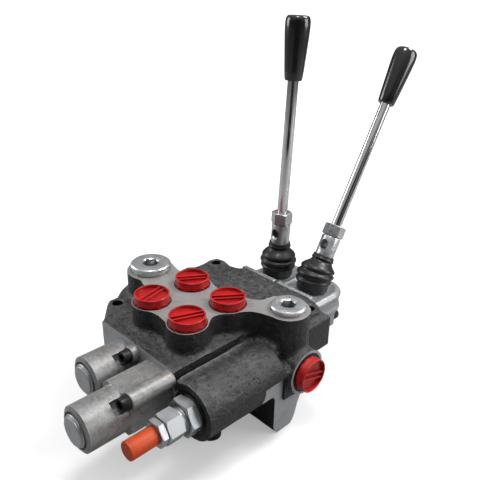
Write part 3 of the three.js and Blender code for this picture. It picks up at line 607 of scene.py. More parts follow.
def build_stains():
    """Mask of scattered blots with soft ragged edges."""
    group, given, put_out = effect("stains", {"Size": 5.0, "Share": 0.3, "Seed": 0.0}, ["Mask"])
    shifted = node(
        group, "VectorMath", {0: in_object(group), 1: given["Seed"]}, operation="ADD"
    ).outputs[0]
    scale = work(group, "DIVIDE", 1 / MM, given["Size"])
    blots = noise(group, shifted, scale, 5, 0.62, 0.4)
    start = work(group, "SUBTRACT", 0.68, work(group, "MULTIPLY", given["Share"], 0.36))
    end = work(group, "ADD", start, 0.07)
    group.links.new(spread(group, blots, start, end), put_out["Mask"])
    return group


def build_cutter_marks():
    """Fine arcs left by a wide milling cutter."""
    settings = {"Pitch": 0.5, "Swing": 90.0}
    group, given, put_out = effect("cutter_marks", settings, ["Height", "Tone"])
    swing = work(group, "MULTIPLY", given["Swing"], MM)
    away = node(group, "CombineXYZ", {0: swing, 1: 0.02}).outputs[0]
    place = node(
        group, "VectorMath", {0: in_object(group), 1: away}, operation="ADD"
    ).outputs[0]
    scale = work(group, "DIVIDE", 0.5 / MM / math.pi, given["Pitch"])
    rings = node(
        group, "TexWave", {"Vector": place, "Scale": scale, "Distortion": 0.6, "Detail": 2.0},
        wave_type="RINGS", rings_direction="Z",
    ).outputs["Fac"]
    scuffs = noise(group, in_object(group), 90, 5, 0.65)
    group.links.new(rings, put_out["Height"])
    group.links.new(weighed(group, rings, 0.3, scuffs, 0.9), put_out["Tone"])
    return group


effects = {
    "edge_wear_and_highlight": build_edge_wear_and_highlight(),
    "corner_grime_and_shade": build_corner_grime_and_shade(),
    "cast_grain": build_cast_grain(),
    "stains": build_stains(),
    "cutter_marks": build_cutter_marks(),
}


def use(tree, name, **values):
    """Places an effect in a material with its own values; underscores stand for spaces."""
    placed = node(tree, "Group", node_tree=effects[name])
    for label, value in values.items():
        placed.inputs[label.replace("_", " ")].default_value = value
    return placed.outputs


# ---------------------------------------------------------------- finishes


def grey(level, warmth=0.0):
    """A grey as bright as the level, a little red for warmth above zero and blue below."""
    return (level * (1 + warmth), level, level * (1 - warmth), 1)


def new_finish(name, roughness, metallic, **fixed):
    """A material whose unvarying numbers sit on the shader itself."""
    material = bpy.data.materials.new(name)
    material.use_nodes = True
    tree = material.node_tree
    shader = tree.nodes["Principled BSDF"]
    shader.inputs["Roughness"].default_value = roughness
    shader.inputs["Metallic"].default_value = metallic
    for label, value in fixed.items():
        shader.inputs[label.replace("_", " ")].default_value = value
    return material, tree, shader.inputs


def bump(tree, shader, height, depth, strength=1.0):
    """Relief of the given depth in millimetres."""
    made = node(tree, "Bump", {"Height": height, "Distance": depth * MM, "Strength": strength})
    tree.links.new(made.outputs["Normal"], shader["Normal"])


def laid_over(tree, colour, tint, share, name, **values):
    """Lays a tint over a colour where an effect's mask is, in full or by a share."""
    mask = use(tree, name, **values)["Mask"]
    if share < 1:
        mask = work(tree, "MULTIPLY", mask, share)
    return mixed(tree, mask, colour, tint)


def wire_up(tree, shader, colour, *gloss):
    """Wires a colour and a roughness to the shader; gloss is what spread takes."""
    tree.links.new(colour, shader["Base Color"])
    tree.links.new(spread(tree, *gloss), shader["Roughness"])


def cast_iron():
    material, tree, shader = new_finish("cast_iron_skin", 0.5, 0.3, Specular_IOR_Level=0.5)
    grain = use(tree, "cast_grain", Grain=1.25)
    colour = mixed(tree, grain["Tone"], grey(0.018, 0.01), grey(0.088, 0.015))
    colour = laid_over(tree, colour, grey(0.035, 0), 0.45, "stains", Size=26, Share=0.55, Seed=0.3)
    colour = laid_over(
        tree, colour, (0.09, 0.062, 0.045, 1), 0.35, "stains", Size=7, Share=0.14, Seed=0.7
    )
    # Edges and fillets lightened, partly rubbed wear and partly a painted highlight.
    colour = laid_over(
        tree, colour, grey(0.2, 0.02), 0.7, "edge_wear_and_highlight", Width=1.3, Patch_size=6, Evenness=0.3
    )
    # Painted shade with grime: corners and hollows darkened almost to black.
    colour = laid_over(tree, colour, grey(0.012), 1, "corner_grime_and_shade", Reach=9, Strength=0.8)
    # Painted shade: upright walls are darkened almost to black, while faces that point up keep
    # their tone.
    facing = node(tree, "NewGeometry").outputs["Normal"]
    rise = node(tree, "SeparateXYZ", {0: facing}).outputs["Z"]
    upright = spread(tree, rise, 0.75, 0.1, 0, 0.72)
    colour = mixed(tree, upright, colour, grey(0.008))
    wire_up(tree, shader, colour, grain["Tone"], 0, 1, 0.38, 0.55)
    bump(tree, shader, grain["Height"], 2.2, 1.0)
    return material


def milled_iron(name, level, warmth, pitch):
    material, tree, shader = new_finish(name, 0.45, 0.3)
    marks = use(tree, "cutter_marks", Pitch=pitch)
    colour = mixed(tree, marks["Tone"], grey(level * 0.8, warmth), grey(level * 1.2, warmth))
    colour = laid_over(
        tree, colour, grey(level * 0.55, warmth), 0.35, "stains", Size=14, Share=0.35, Seed=0.1
    )
    # Milled edges lightened to a thin bright line: a painted highlight, with some wear.
    colour = laid_over(
        tree, colour, grey(0.62, 0.02), 1, "edge_wear_and_highlight", Width=0.45, Patch_size=8, Evenness=0.55
    )
    wire_up(tree, shader, colour, marks["Tone"], 0.2, 0.9, 0.34, 0.5)
    bump(tree, shader, marks["Height"], 0.012, 0.5)
    return material


def die_casting(name, level, warmth, dirt):
    """Die-cast aluminium, more or less stained by handling and oil."""
    material, tree, shader = new_finish(name, 0.45, 0.6)
    grain = use(tree, "cast_grain", Grain=0.55)
    colour = mixed(tree, grain["Tone"], grey(level * 0.82, warmth), grey(level * 1.15, warmth))
    for size, share, seed, tint in (
        (16, 0.5, 0.2, (0.17, 0.15, 0.12, 1)),
        (5, 0.42, 0.55, (0.1, 0.085, 0.07, 1)),
        (2.2, 0.3, 0.9, (0.05, 0.045, 0.04, 1)),
        (9, 0.22, 1.3, (0.2, 0.1, 0.06, 1)),
    ):
        colour = laid_over(tree, colour, tint, dirt, "stains", Size=size, Share=share, Seed=seed)
    # Painted shade with grime: corners and hollows darkened.
    colour = laid_over(tree, colour, grey(0.015, 0.1), 1, "corner_grime_and_shade", Reach=8, Strength=1.0)
    # Edges lightened, partly rubbed wear and partly a painted highlight.
    colour = laid_over(
        tree, colour, grey(0.6), 0.8, "edge_wear_and_highlight", Width=0.7, Patch_size=5, Evenness=0.35
    )
    wire_up(tree, shader, colour, grain["Tone"], 0, 1, 0.36, 0.56)
    bump(tree, shader, grain["Height"], 0.16, 0.7)
    return material


def turned_disc():
    material, tree, shader = new_finish("turned_disc", 0.4, 0.8)
    marks = use(tree, "cutter_marks", Pitch=0.25, Swing=40)
    colour = mixed(tree, marks["Tone"], grey(0.3, -0.03), grey(0.45, -0.03))
    colour = laid_over(
        tree, colour, (0.2, 0.18, 0.15, 1), 0.4, "stains", Size=6, Share=0.3, Seed=0.4
    )
    wire_up(tree, shader, colour, marks["Tone"], 0.1, 1, 0.3, 0.48)
    bump(tree, shader, marks["Height"], 0.008, 0.4)
    return material


def plating(name, level, warmth, roughness, cloud):
    """Zinc plate: a pale film, clouded and a little scratched."""
    material, tree, shader = new_finish(name, roughness, 0.9)
    place = in_object(tree)
    clouds = noise(tree, place, 140, 4, 0.6)
    darker, paler = grey(level * (1 - cloud), warmth), grey(level * (1 + cloud), warmth)
    colour = mixed(tree, spread(tree, clouds, 0.3, 0.7), darker, paler)
    # Painted shade with grime: corners and hollows of the plating darkened.
    colour = laid_over(tree, colour, grey(0.035, 0.03), 1, "corner_grime_and_shade", Reach=8, Strength=0.9)
    wire_up(tree, shader, colour, clouds, 0.25, 0.75, roughness - 0.08, roughness + 0.1)
    bump(tree, shader, noise(tree, place, 2600, 3, 0.6), 0.01, 0.5)
    return material


def chrome():
    material, tree, shader = new_finish("hard_chrome", 0.07, 1.0)
    smears = noise(tree, in_object(tree), 60, 4, 0.6)
    colour = mixed(tree, spread(tree, smears, 0.3, 0.7), grey(0.62), grey(0.74, -0.01))
    wire_up(tree, shader, colour, smears, 0.3, 0.75, 0.05, 0.14)
    return material


def moulded(name, colour, edge_rub_and_highlight, roughness, coat, grime_and_shade_strength=0.4, pebble=0.012):
    """Moulded plastic or rubber, paler on its edges where it is rubbed and where a highlight is
    painted, and darker in its corners with grime and painted shade.
    """
    fixed = {"Coat_Roughness": 0.12, "Specular_IOR_Level": 0.35}
    material, tree, shader = new_finish(name, roughness, 0, **fixed)
    place = in_object(tree)
    shade_change = noise(tree, place, 110, 3, 0.5)
    darker = tuple(0.72 * part for part in colour[:3]) + (1,)
    tone = mixed(tree, spread(tree, shade_change, 0.3, 0.7), darker, colour)
    # Edges paler, partly rubbed wear and partly a painted highlight.
    tone = laid_over(tree, tone, edge_rub_and_highlight, 0.8, "edge_wear_and_highlight", Width=0.6, Patch_size=5, Evenness=0.55)
    # Painted shade with grime: corners darkened towards a deep tone of the colour.
    grime_and_shade = use(tree, "corner_grime_and_shade", Reach=3, Strength=grime_and_shade_strength)["Mask"]
    deep = tuple(0.3 * part for part in colour[:3]) + (1,)
    tone = mixed(tree, grime_and_shade, tone, deep)
    wire_up(tree, shader, tone, shade_change, 0.25, 0.75, roughness - 0.05, roughness + 0.07)
    dust = use(tree, "stains", Size=3, Share=0.1, Seed=0.6)["Mask"]
    tree.links.new(spread(tree, dust, 0, 1, coat, coat * 0.4), shader["Coat Weight"])
    bump(tree, shader, noise(tree, place, 1900, 3, 0.6), pebble, 0.5)
    return material


def dark_steel(name, level, roughness):
    material, tree, shader = new_finish(name, roughness, 0.85)
    place = in_object(tree)
    clouds = noise(tree, place, 300, 4, 0.6)
    colour = mixed(tree, spread(tree, clouds, 0.3, 0.7), grey(level * 0.7), grey(level * 1.3))
    # Edges of the dark steel lightened, partly wear and partly a painted highlight.
    bright = grey(min(0.7, level * 4))
    colour = laid_over(
        tree, colour, bright, 0.6, "edge_wear_and_highlight", Width=0.4, Patch_size=3, Evenness=0.4
    )
    wire_up(tree, shader, colour, clouds, 0.3, 0.7, roughness - 0.08, roughness + 0.1)
    bump(tree, shader, noise(tree, place, 2400, 3), 0.008, 0.5)
    return material


finishes = {
    "cast_iron": cast_iron(),
    "port_face": milled_iron("milled_port_face", 0.26, 0.02, 0.55),
    "milled_side": milled_iron("milled_side", 0.34, -0.04, 0.4),
    "cap_casting": die_casting("stained_cap_casting", 0.27, 0.0, 0.26),
    "box_casting": die_casting("lever_box_casting", 0.34, -0.03, 0.12),
    "die_cast": die_casting("plain_die_casting", 0.4, 0, 0.3),
    "turned_disc": turned_disc(),
    "zinc": plating("bright_zinc", 0.55, -0.02, 0.32, 0.05),
    "pale_zinc": plating("pale_zinc", 0.5, -0.03, 0.4, 0.04),
    "chrome": chrome(),
    "steel": plating("ground_steel", 0.5, 0.01, 0.22, 0.06),
    "spring_steel": dark_steel("spring_steel", 0.16, 0.35),
    "black_steel": dark_steel("black_oxide_steel", 0.03, 0.38),
    "red_plastic": moulded(
        "red_plastic", (0.4, 0.0015, 0.003, 1), (0.72, 0.055, 0.05, 1), 0.4, 0.12
    ),
    "orange_plastic": moulded(
        "orange_plastic", (0.52, 0.058, 0.006, 1), (0.62, 0.1, 0.02, 1), 0.5, 0.03
    ),
    "black_rubber": moulded(
        "black_rubber", (0.009, 0.009, 0.01, 1), (0.035, 0.035, 0.037, 1), 0.42, 0.15, 0.7, 0.02
    ),
    "black_plastic": moulded(
        "black_plastic", (0.01, 0.01, 0.011, 1), (0.04, 0.04, 0.042, 1), 0.2, 0.7, 0.3, 0.003
    ),
    "seal_rubber": moulded(
        "seal_rubber", (0.02, 0.02, 0.021, 1), (0.05, 0.05, 0.05, 1), 0.5, 0.05
    ),
}


# ---------------------------------------------------------------- port plugs


def chamfered_hex(name, across_flats, start, end, chamfer):
    """A hexagonal bar along Z with both ends turned to a cone, as nuts are."""
    corner = across_flats / math.sqrt(3)
    hexagon = bar(name, corner, (0, 0, start), (0, 0, end), sides=6)
    rim = across_flats / 2 - 0.2 * MM
    mould = turned("mould", [
        (rim, start), (corner + MM, start + chamfer), (corner + MM, end - chamfer), (rim, end),
    ], sides=96)
    return keep_inside(hexagon, mould)


def shipping_plug(name, well_radius, flange_radius, height):
    """Moulded plug about Z on its port face: faceted skirt, sunk top with a pair of ribs."""
    inside = flange_radius - 1.3 * MM
    sunk = height - 2.6 * MM
    skirt = profile((-1, 0.3), (0, 0.35), (0, 1.2), (-0.2, 1.7), rim=flange_radius)
    brow = (-0.75, -1.5), (-0.75, -1.2), (-0.35, -0.95), (-0.4, -0.2), (-0.65, 0)
    skirt += profile(*brow, rim=flange_radius, base=height)
    skirt += profile((0, 0), (-0.2, -0.25), rim=inside, base=height)
    plug = turned(name, skirt + profile((-0.45, 0), rim=inside, base=sunk), sides=96)
    top = (0, 0, height + MM)
    keep_inside(plug, bar("facets", flange_radius, (0, 0, 0), top, 12, 1.075 * flange_radius))
    stem = profile((-1.4, -10), (-0.6, -9), (-0.6, 1), rim=well_radius)
    unite(plug, turned("stem", stem, sides=96))
    reach = inside - 0.2 * MM
    for offset in (-2.1 * MM, 2.1 * MM):
        low = (-reach, offset - 0.5 * MM, sunk - 0.6 * MM)
        unite(plug, block("rib", low, (reach, offset + 0.5 * MM, height - 0.8 * MM)))
    return shade(break_edges(plug, 0.14 * MM, angle=25), 15)


def make_plugs():
    rib_angles = {"a1": 103, "b1": 57, "a2": 68, "b2": 54}
    flange, height = 13.3 * MM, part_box("port_plug_a1")[1].z
    pieces = []
    for port, angle in rib_angles.items():
        plug = shipping_plug(f"port_plug_{port}_moulded", port_well_radius, flange, height)
        spot = Matrix.Translation((port_place[port].x, port_place[port].y, 0))
        place(plug, spot @ spin(angle))
        pieces.append((plug, "port_plug_" + port))
    inlet = shipping_plug("side_inlet_plug_moulded", port_well_radius, flange, height)
    spot = Matrix.Translation((side_face_x, inlet_top.y, gallery_z))
    place(inlet, spot @ spin(90, "Y") @ spin(71))
    outlet = shipping_plug("side_outlet_plug_moulded", outlet_well_radius, 16.4 * MM, height)
    spot = Matrix.Translation((outlet_face_x, outlet_top.y, gallery_z))
    place(outlet, spot @ spin(-90, "Y"))
    pieces += [(inlet, "side_inlet_plug"), (outlet, "side_outlet_plug")]
    for piece, stands_for in pieces:
        finish_piece(piece, "housing", finishes["red_plastic"], "red_plastic", stands_for)


def socket_plug(name, thread_radius, flange_radius, top, across_flats):
    """Plated port plug about Z with a hexagonal socket that ends in a drill point."""
    half = across_flats / 2
    outline = profile((-0.8, -10), (0, -9), (0, 2), rim=thread_radius)
    outline += profile((-0.25, 0), (0, 0.3), rim=flange_radius, base=2 * MM)
    outline += profile((0, -0.9), (-0.9, -0.05), (-1.1, 0), rim=flange_radius, base=top)
    outline += profile((1.6, 0), (1.5, -0.1), rim=half, base=top)
    plug = turned(name, outline, sides=96)
    hexagon = across_flats / math.sqrt(3)
    socket = bar("socket", hexagon, (0, 0, top - 6 * MM), (0, 0, top + MM), sides=6)
    lead_in = turned("lead_in", profile((-0.3, -1), (1.2, 0.2), rim=half, base=top))
    tip = profile((-0.1, -4), (-0.1, -6.4), rim=half, base=top) + profile((0.4, -8.6), base=top)
    drill_point = turned("drill_point", tip)
    carve(plug, socket, lead_in, drill_point)
    return shade(break_edges(plug, 0.1 * MM, angle=25), 15)


def make_socket_plugs():
    for port, top, thread, flange, across in (
        ("outlet", outlet_top, 13.1 * MM, 16.05 * MM, 12 * MM),
        ("inlet", inlet_top, 10.3 * MM, 13.2 * MM, 10 * MM),
    ):
        stands_for = port + "_socket_plug"
        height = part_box(stands_for)[1].z
        plug = socket_plug(stands_for + "_plated", thread, flange, height, across)
        place(plug, Matrix.Translation((top.x, top.y, 0)) @ spin(20))
        finish_piece(plug, "housing", finishes["zinc"], "zinc", stands_for)


# ---------------------------------------------------------------- spool caps


def towards_caps(x, z):
    """Frame of a piece modelled about Z whose top points towards -Y; its +Y is up."""
    return Matrix.Translation((x, 0, z)) @ spin(90, "X")


cap_radius = 16 * MM
cap_ear = 13.4 * MM
ears = [(cap_ear, cap_ear), (-cap_ear, -cap_ear)]
ear_radius = 6.3 * MM
cap_bore_radius = 12.5 * MM
# How far a screw reaches past the face that it clamps to.
thread_reach = 12 * MM


def cap_casting(side, bearing, end, square):
    """Die-cast cap about Z: barrel, two screw ears and, on the long cap, a block between them."""
    foot = -front_y + 0.3 * MM
    low = foot - 2 * MM
    barrel = [(cap_radius, low), (cap_radius, end + 2 * MM)]
    cap = turned(f"cap_{side}_casting", barrel, sides=96)
    rough = [bar_along("Z", "ear", ear_radius, ear, low, bearing) for ear in ears]
    if square:
        brick = block("brick", (-cap_radius, -cap_radius, low), (cap_radius, cap_radius, bearing))
        half, past, away = 7 * MM, 9 * MM, 18.4 * MM
        for s in (1, -1):
            corner = block("corner", (-half, -half, foot - past), (half, half, bearing + past))
            spot = Matrix.Translation((s * away, -s * away, 0))
            carve(brick, place(corner, spot @ spin(45)))
        rough.append(brick)
    unite(cap, *rough)
    rub_down(skin(cap, 0.55 * MM), 3)
    uneven(cap, 0.12 * MM, 6 * MM)
    slice_off(cap, (0, 0, foot), (0, 0, -1))
    slice_off(cap, (0, 0, end), (0, 0, 1))
    machine_cap(cap, foot, bearing, end)
    turn_chamfer(cap, end)
    return shade(cap, 32)


def turn_chamfer(cap, end):
    """Turns the outer end of the barrel to a cone."""
    corners = (-2.6, 0), (1, -2.2), (4, -2.2), (4, 1), (-2.6, 1)
    collar = profile(*corners, rim=cap_radius, base=end)
    carve(cap, turned("collar", collar, sides=96, open_middle=True))


def machine_cap(cap, foot, bearing, end):
    """Bores the cap, with a ring groove at its mouth, and drills its screw holes."""
    mouth = cap_bore_radius + 0.2 * MM
    bore = [(cap_bore_radius, foot - MM)]
    bore += profile((0, -2.6), (0.9, -2.6), (0.9, -1.2), rim=cap_bore_radius, base=end)
    bore += profile((0, -1.2), (0, -0.3), (0.3, 0), (0.3, 1), rim=mouth, base=end)
    carve(cap, turned("bore", bore, sides=96))
    for ear in ears:
        hole = bar_along("Z", "hole", 3.4 * MM, ear, foot - MM, bearing + MM, sides=32)
        room = bar_along("Z", "room", 6.4 * MM, ear, bearing, bearing + 10 * MM, sides=48)
        carve(cap, hole, room)


def cap_disc(side, end):
    """Turned closing disc in two steps, standing a little proud of the cap."""
    lip = cap_bore_radius - 1.3 * MM
    face = lip - 1.2 * MM
    outline = profile((0, -4), (0, 0.4), (-0.3, 0.8), rim=lip, base=end)
    outline += profile((0.25, 0.85), (0, 1.1), (0, 1.75), (-0.45, 2.2), rim=face, base=end)
    outline += profile((2, 2.2), (0.6, 1.9), base=end)
    return shade(turned(f"cap_disc_{side}_turned", outline, sides=96), 28)


def cap_screw(name, length):
    """Black socket-head screw about Z, head up, bearing at zero."""
    head = 6 * MM
    radius = 4.9 * MM
    outline = profile((2.4, 0), (3, 0.8), base=-length) + profile((3, 0.3), (4.9, 0.3))
    outline += profile((0, -0.6), (-0.2, -0.2), (-0.6, 0), rim=radius, base=head)
    screw = turned(name, outline + profile((3.3, 0), (3.1, -0.2), base=head), sides=48)
    hexagon = 5 * MM / math.sqrt(3)
    carve(screw, bar("socket", hexagon, (0, 0, head - 3 * MM), (0, 0, head + MM), sides=6))
    return shade(screw, 30)


def make_caps():
    # Where the screws bear, where the barrel ends and whether a block joins the ears.
    caps = {"left": (50.6 * MM, 78.6 * MM, False), "right": (79 * MM, 109.2 * MM, True)}
    for side, (bearing, end, square) in caps.items():
        spot = towards_caps(spool_x[side], spool_z)
        cap = place(cap_casting(side, bearing, end, square), spot)
        finish_piece(cap, "housing", finishes["cap_casting"], "die_cast", "cap_" + side)
        disc = place(cap_disc(side, end), spot)
        finish_piece(disc, "housing", finishes["turned_disc"], "die_cast", "cap_disc_" + side)
        for row, ear in zip(("upper", "lower"), ears):
            stands_for = f"cap_screw_{row}_{side}"
            screw = cap_screw(stands_for + "_black", bearing + front_y + thread_reach)
            place(screw, spot @ Matrix.Translation((*ear, bearing)))
            finish_piece(screw, "housing", finishes["black_steel"], "black_steel", stands_for)


# ---------------------------------------------------------------- relief valve


def relief_body():
    """Plated cartridge about Z: big hexagon, turned neck, middle hexagon, hollow for the screw."""
    start = -front_y
    outline = profile((7.5, 14), (8.5, 28.3), (11, 28.5))
    outline += profile((11, 1.2), (12.6, 1.25), (12.6, 1.5), (9.6, 1.6), base=start)
    outline += profile((9.6, 54), (9.2, 55), (9.2, 58.2), (8, 58.4), (8, 69))
    stem = turned("relief_cartridge_plated", outline)
    big = chamfered_hex("big", 24 * MM, start + 1.4 * MM, 54.5 * MM, 1.3 * MM)
    small = chamfered_hex("small", 19 * MM, 57.5 * MM, 69.6 * MM, 1.2 * MM)
    place(big, spin(30))
    place(small, spin(30))
    unite(stem, big, small)
    carve(stem, bar("bore", 4.1 * MM, at(0, 0, 20), at(0, 0, 72), sides=32))
    return shade(break_edges(stem, 0.16 * MM, angle=25), 15)


def make_relief_valve():
    spot = towards_caps(relief_x, relief_z)
    cartridge = place(relief_body(), spot)
    finish_piece(cartridge, "housing", finishes["pale_zinc"], "zinc", "relief_cartridge")
    nut = chamfered_hex("relief_lock_nut_plated", 17 * MM, 69.9 * MM, 74.6 * MM, 0.9 * MM)
    thread = profile((5, 69), (4.1, 70.5), (4.1, 74), (5, 75.5))
    carve(nut, turned("thread", thread, sides=32))
    place(nut, spot @ spin(36))
    shade(break_edges(nut, 0.12 * MM, angle=25), 15)
    finish_piece(nut, "housing", finishes["pale_zinc"], "zinc", "relief_lock_nut")
    cap = turned("relief_cap_moulded", profile(
        (6.25, 74.9), (6.4, 75.2), (6.45, 94), (6.3, 94.6), (5.9, 94.9), (5.4, 95), (4.5, 95),
        (4.3, 94.75), (4.1, 94.75), (3.9, 94.95), (1.2, 94.95), (0.9, 94.7),
    ), sides=72)
    carve(cap, bar("hollow", 4.2 * MM, at(0, 0, 74), at(0, 0, 84.5), sides=32))
    place(shade(cap, 28), spot)
    finish_piece(cap, "housing", finishes["orange_plastic"], "orange_plastic", "relief_cap")


# ---------------------------------------------------------------- levers


# Row, place beside the spool, height and head face of each screw in a lever box.
box_screws = [
    ("lower", 13.7 * MM, -51 * MM, 130.5 * MM),
    ("upper", -13.7 * MM, -35 * MM, 132 * MM),
]


def lever_frame(side):
    """Frame of a lever: zero at its ball, Z along the rod."""
    return Matrix.Translation(pivot[side]) @ Matrix.Rotation(-lean[side], 4, "X")


def lever_hub(side):
    """Ball, tail and cross-drilled hub, all in one turned piece about Z."""
    ball, tail = 9 * MM, 17.1 * MM
    tail_end = (1.2, -3.3), (2.6, -2.4), (3.4, -0.6), (3.4, 0.8), (2.4, 2.6)
    corners = profile(*tail_end, base=-tail) + profile((2.3, -9.6))
    for degrees in range(-66, 61, 9):
        angle = math.radians(degrees)
        corners.append((ball * math.cos(angle), ball * math.sin(angle)))
    corners += profile(
        (4.6, 8.3), (4.6, 20.6), (7.6, 21.3), (8.15, 22.1), (8.15, 43.2), (7.9, 43.8), (7.4, 44),
        (4, 44),
    )
    hub = turned(f"lever_ball_{side}_hub", corners, sides=72)
    drill_height = 35.3
    drilled = at(0, -10, drill_height), at(0, 10, drill_height)
    carve(hub, bar("cross_hole", 3.4 * MM, *drilled, sides=48))
    for end in (-1, 1):
        inner, outer = at(0, end * 5.4, drill_height), at(0, end * 8.6, drill_height)
        carve(hub, bar("mouth", 2.6 * MM, inner, outer, sides=48, end_radius=5.2 * MM))
    carve(hub, bar("thread", 3.6 * MM, at(0, 0, 38), at(0, 0, 46), sides=32))
    return shade(hub, 30)


def lever_nut(side):
    nut = chamfered_hex(f"lever_lock_nut_{side}_plated", 16 * MM, 44.3 * MM, 54.3 * MM, 1.4 * MM)
    thread = profile((5.6, 44), (4.7, 45.4), (4.7, 53.2), (5.6, 54.8))
    carve(nut, turned("thread", thread, sides=32))
    return shade(break_edges(nut, 0.15 * MM, angle=25), 15)


def lever_rod(side):
    rod, root = 4.4 * MM, 3.2 * MM
    outline = profile((-0.5, 38.4), (0, 39), (0, 44.1), rim=root)
    outline += profile((-0.3, 44.3), (0, 44.8), (0, 110), (0, 189.6), (-0.6, 190.2), rim=rod)
    return shade(turned(f"lever_rod_{side}_chromed", outline, sides=48), 30)


def lever_grip(side):
    """Glossy tapered grip, slim at the rod and full at its rounded top."""
    foot, top = 164.8 * MM, 213.1 * MM
    taper = profile(
        (5.9, 0), (6.5, 0.15), (6.9, 0.7), (7.15, 1.6), (7.8, 8), (8.5, 18), (9.2, 28),
        (9.65, 35), (9.85, 40), base=foot,
    )
    dome = profile(
        (9.75, -4.6), (9.45, -2.6), (8.9, -1.2), (8.1, -0.4), (7.2, -0.08), (6.4, 0), (2, 0),
        (0.5, 0), base=top,
    )
    grip = turned(f"lever_grip_{side}_gloss", taper + dome, sides=72)
    carve(grip, bar("bore", 4.8 * MM, (0, 0, foot - MM), at(0, 0, 190.8), sides=32))
    return shade(grip, 40)


def lever_boot(side):
    """Rubber bellows: a smooth collar on the box, three folds and a neck that grips the hub."""
    boot = turned(f"lever_boot_{side}_bellows", profile(
        (12.1, -3.6), (13.15, -3.6), (13.35, -3.3), (13.4, 2.2), (13.9, 2.9), (14.8, 3.6),
        (15.3, 4.4), (15.35, 5.2), (14.9, 5.9), (14.3, 6.5), (14.2, 7.2), (14.6, 7.9),
        (15.5, 8.7), (16.05, 9.6), (16.05, 10.5), (15.5, 11.3), (14.5, 12), (14, 12.6),
        (14.1, 13.2), (14.6, 13.8), (14.9, 14.6), (14.7, 15.5), (13.9, 16.6), (12.6, 17.9),
        (11.3, 19), (10.3, 20), (9.5, 21), (9.1, 21.8), (9.15, 22.4), (9.7, 22.8), (9.9, 23.4),
        (9.75, 24.1), (9.3, 24.6), (9.25, 26.2), (9.1, 26.8), (8.75, 27), (8.5, 26.7),
        (8.5, 21.6), (10.4, 18), (12.3, 13.4), (12.3, 7.6), (12.1, 4),
    ), sides=96, open_middle=True)
    # The foot of the boot leans by a share of the lever's lean, its neck by all of it.
    base_share = 0.33
    for vertex in boot.data.vertices:
        climb = min(1, max(0, (vertex.co.z - 2 * MM) / (19 * MM)))
        share = base_share + (1 - base_share) * climb * climb * (3 - 2 * climb)
        vertex.co.rotate(Matrix.Rotation(-lean[side] * share, 3, "X"))
    place(boot, Matrix.Translation(pivot[side]))
    return shade(boot, 60)


def lever_box(side):
    """Die-cast box behind the body: flange, sloped shoulders, round back and boot collar."""
    x, y = spool_x[side], pivot[side].y
    half, back, past = 18.7 * MM, 127.5 * MM, 150 * MM
    start = rear_y + 0.3 * MM
    inner = start - 2 * MM
    top, step, under = -28 * MM, -45.5 * MM, -58 * MM
    grain = 0.7 * MM
    low, high = (x - half, start - 6 * MM, step), (x + half, back, top)
    box = block(f"lever_box_{side}_casting", low, high)
    unite(box, bar("back", half, (x, back, step), (x, back, top), sides=96))
    fillet_corners(box, -3.2 * MM, grain)
    collar = 15.6 * MM, (x, y), top - 2 * MM, top + 2.4 * MM
    unite(box, *[
        block("lower", (x - half, inner, under), (x + half, 130 * MM, step + 4 * MM)),
        block("flange", (x - half, inner, -60 * MM), (x + half, start + 4.6 * MM, -17.4 * MM)),
        bar_along("Z", "collar", *collar, end_radius=11.6 * MM),
        shoulder(x, start, top),
    ])
    fillet_corners(box, 1.6 * MM, grain)
    rub_down(box, 3)
    uneven(box, 0.15 * MM, 7 * MM)
    slice_off(box, (x, start, 0), (0, -1, 0))
    socket = bar_along("Z", "socket", 9.35 * MM, (x, y), -40 * MM, -10 * MM)
    width = 9.6 * MM
    cavity = block("cavity", (x - width, start - MM, -50 * MM), (x + width, 138 * MM, -30 * MM))
    carve(box, cavity, socket)
    for _, sideways, z, head_y in box_screws:
        where = (x + sideways, z)
        carve(box, bar_along("Y", "hole", 3.4 * MM, where, start - MM, past, sides=32))
        carve(box, bar_along("Y", "room", 5.6 * MM, where, head_y, past, sides=48))
    return shade(box, 32)


def shoulder(x, start, top):
    """Web that slopes from the top of the flange down to the box, highest in the middle."""
    rear = start + 17 * MM
    web = block("web", (x - 18 * MM, start, top - MM), (x + 18 * MM, rear, -17.6 * MM))
    choose_faces(web, lambda centre, facing: facing.y > 0.9)
    bpy.ops.transform.resize(value=(0.5, 1, 0.1), center_override=(x, rear, top - MM))
    bpy.ops.object.mode_set(mode="OBJECT")
    return web


def make_levers():
    for side in ("left", "right"):
        body = "lever_" + side
        spot = lever_frame(side)
        for made, stands_for, finish, slot in (
            (lever_hub(side), f"lever_ball_{side}", "zinc", "zinc"),
            (lever_nut(side), f"lever_lock_nut_{side}", "zinc", "zinc"),
            (lever_rod(side), f"lever_rod_{side}", "chrome", "chrome"),
            (lever_grip(side), f"lever_grip_{side}", "black_plastic", "black_plastic"),
        ):
            finish_piece(place(made, spot), body, finishes[finish], slot, stands_for)
        box = lever_box(side)
        finish_piece(box, "housing", finishes["box_casting"], "die_cast", "lever_box_" + side)
        boot = lever_boot(side)
        boot.data.materials.append(finishes["black_rubber"])
        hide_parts("lever_boot_" + side)
        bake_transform(boot)
        for row, sideways, z, head_y in box_screws:
            stands_for = f"box_screw_{row}_{side}"
            screw = cap_screw(stands_for + "_black", head_y - rear_y + thread_reach)
            head = Matrix.Translation((spool_x[side] + sideways, head_y, z))
            place(screw, head @ spin(-90, "X"))
            finish_piece(screw, "housing", finishes["black_steel"], "black_steel", stands_for)


# ---------------------------------------------------------------- the whole valve


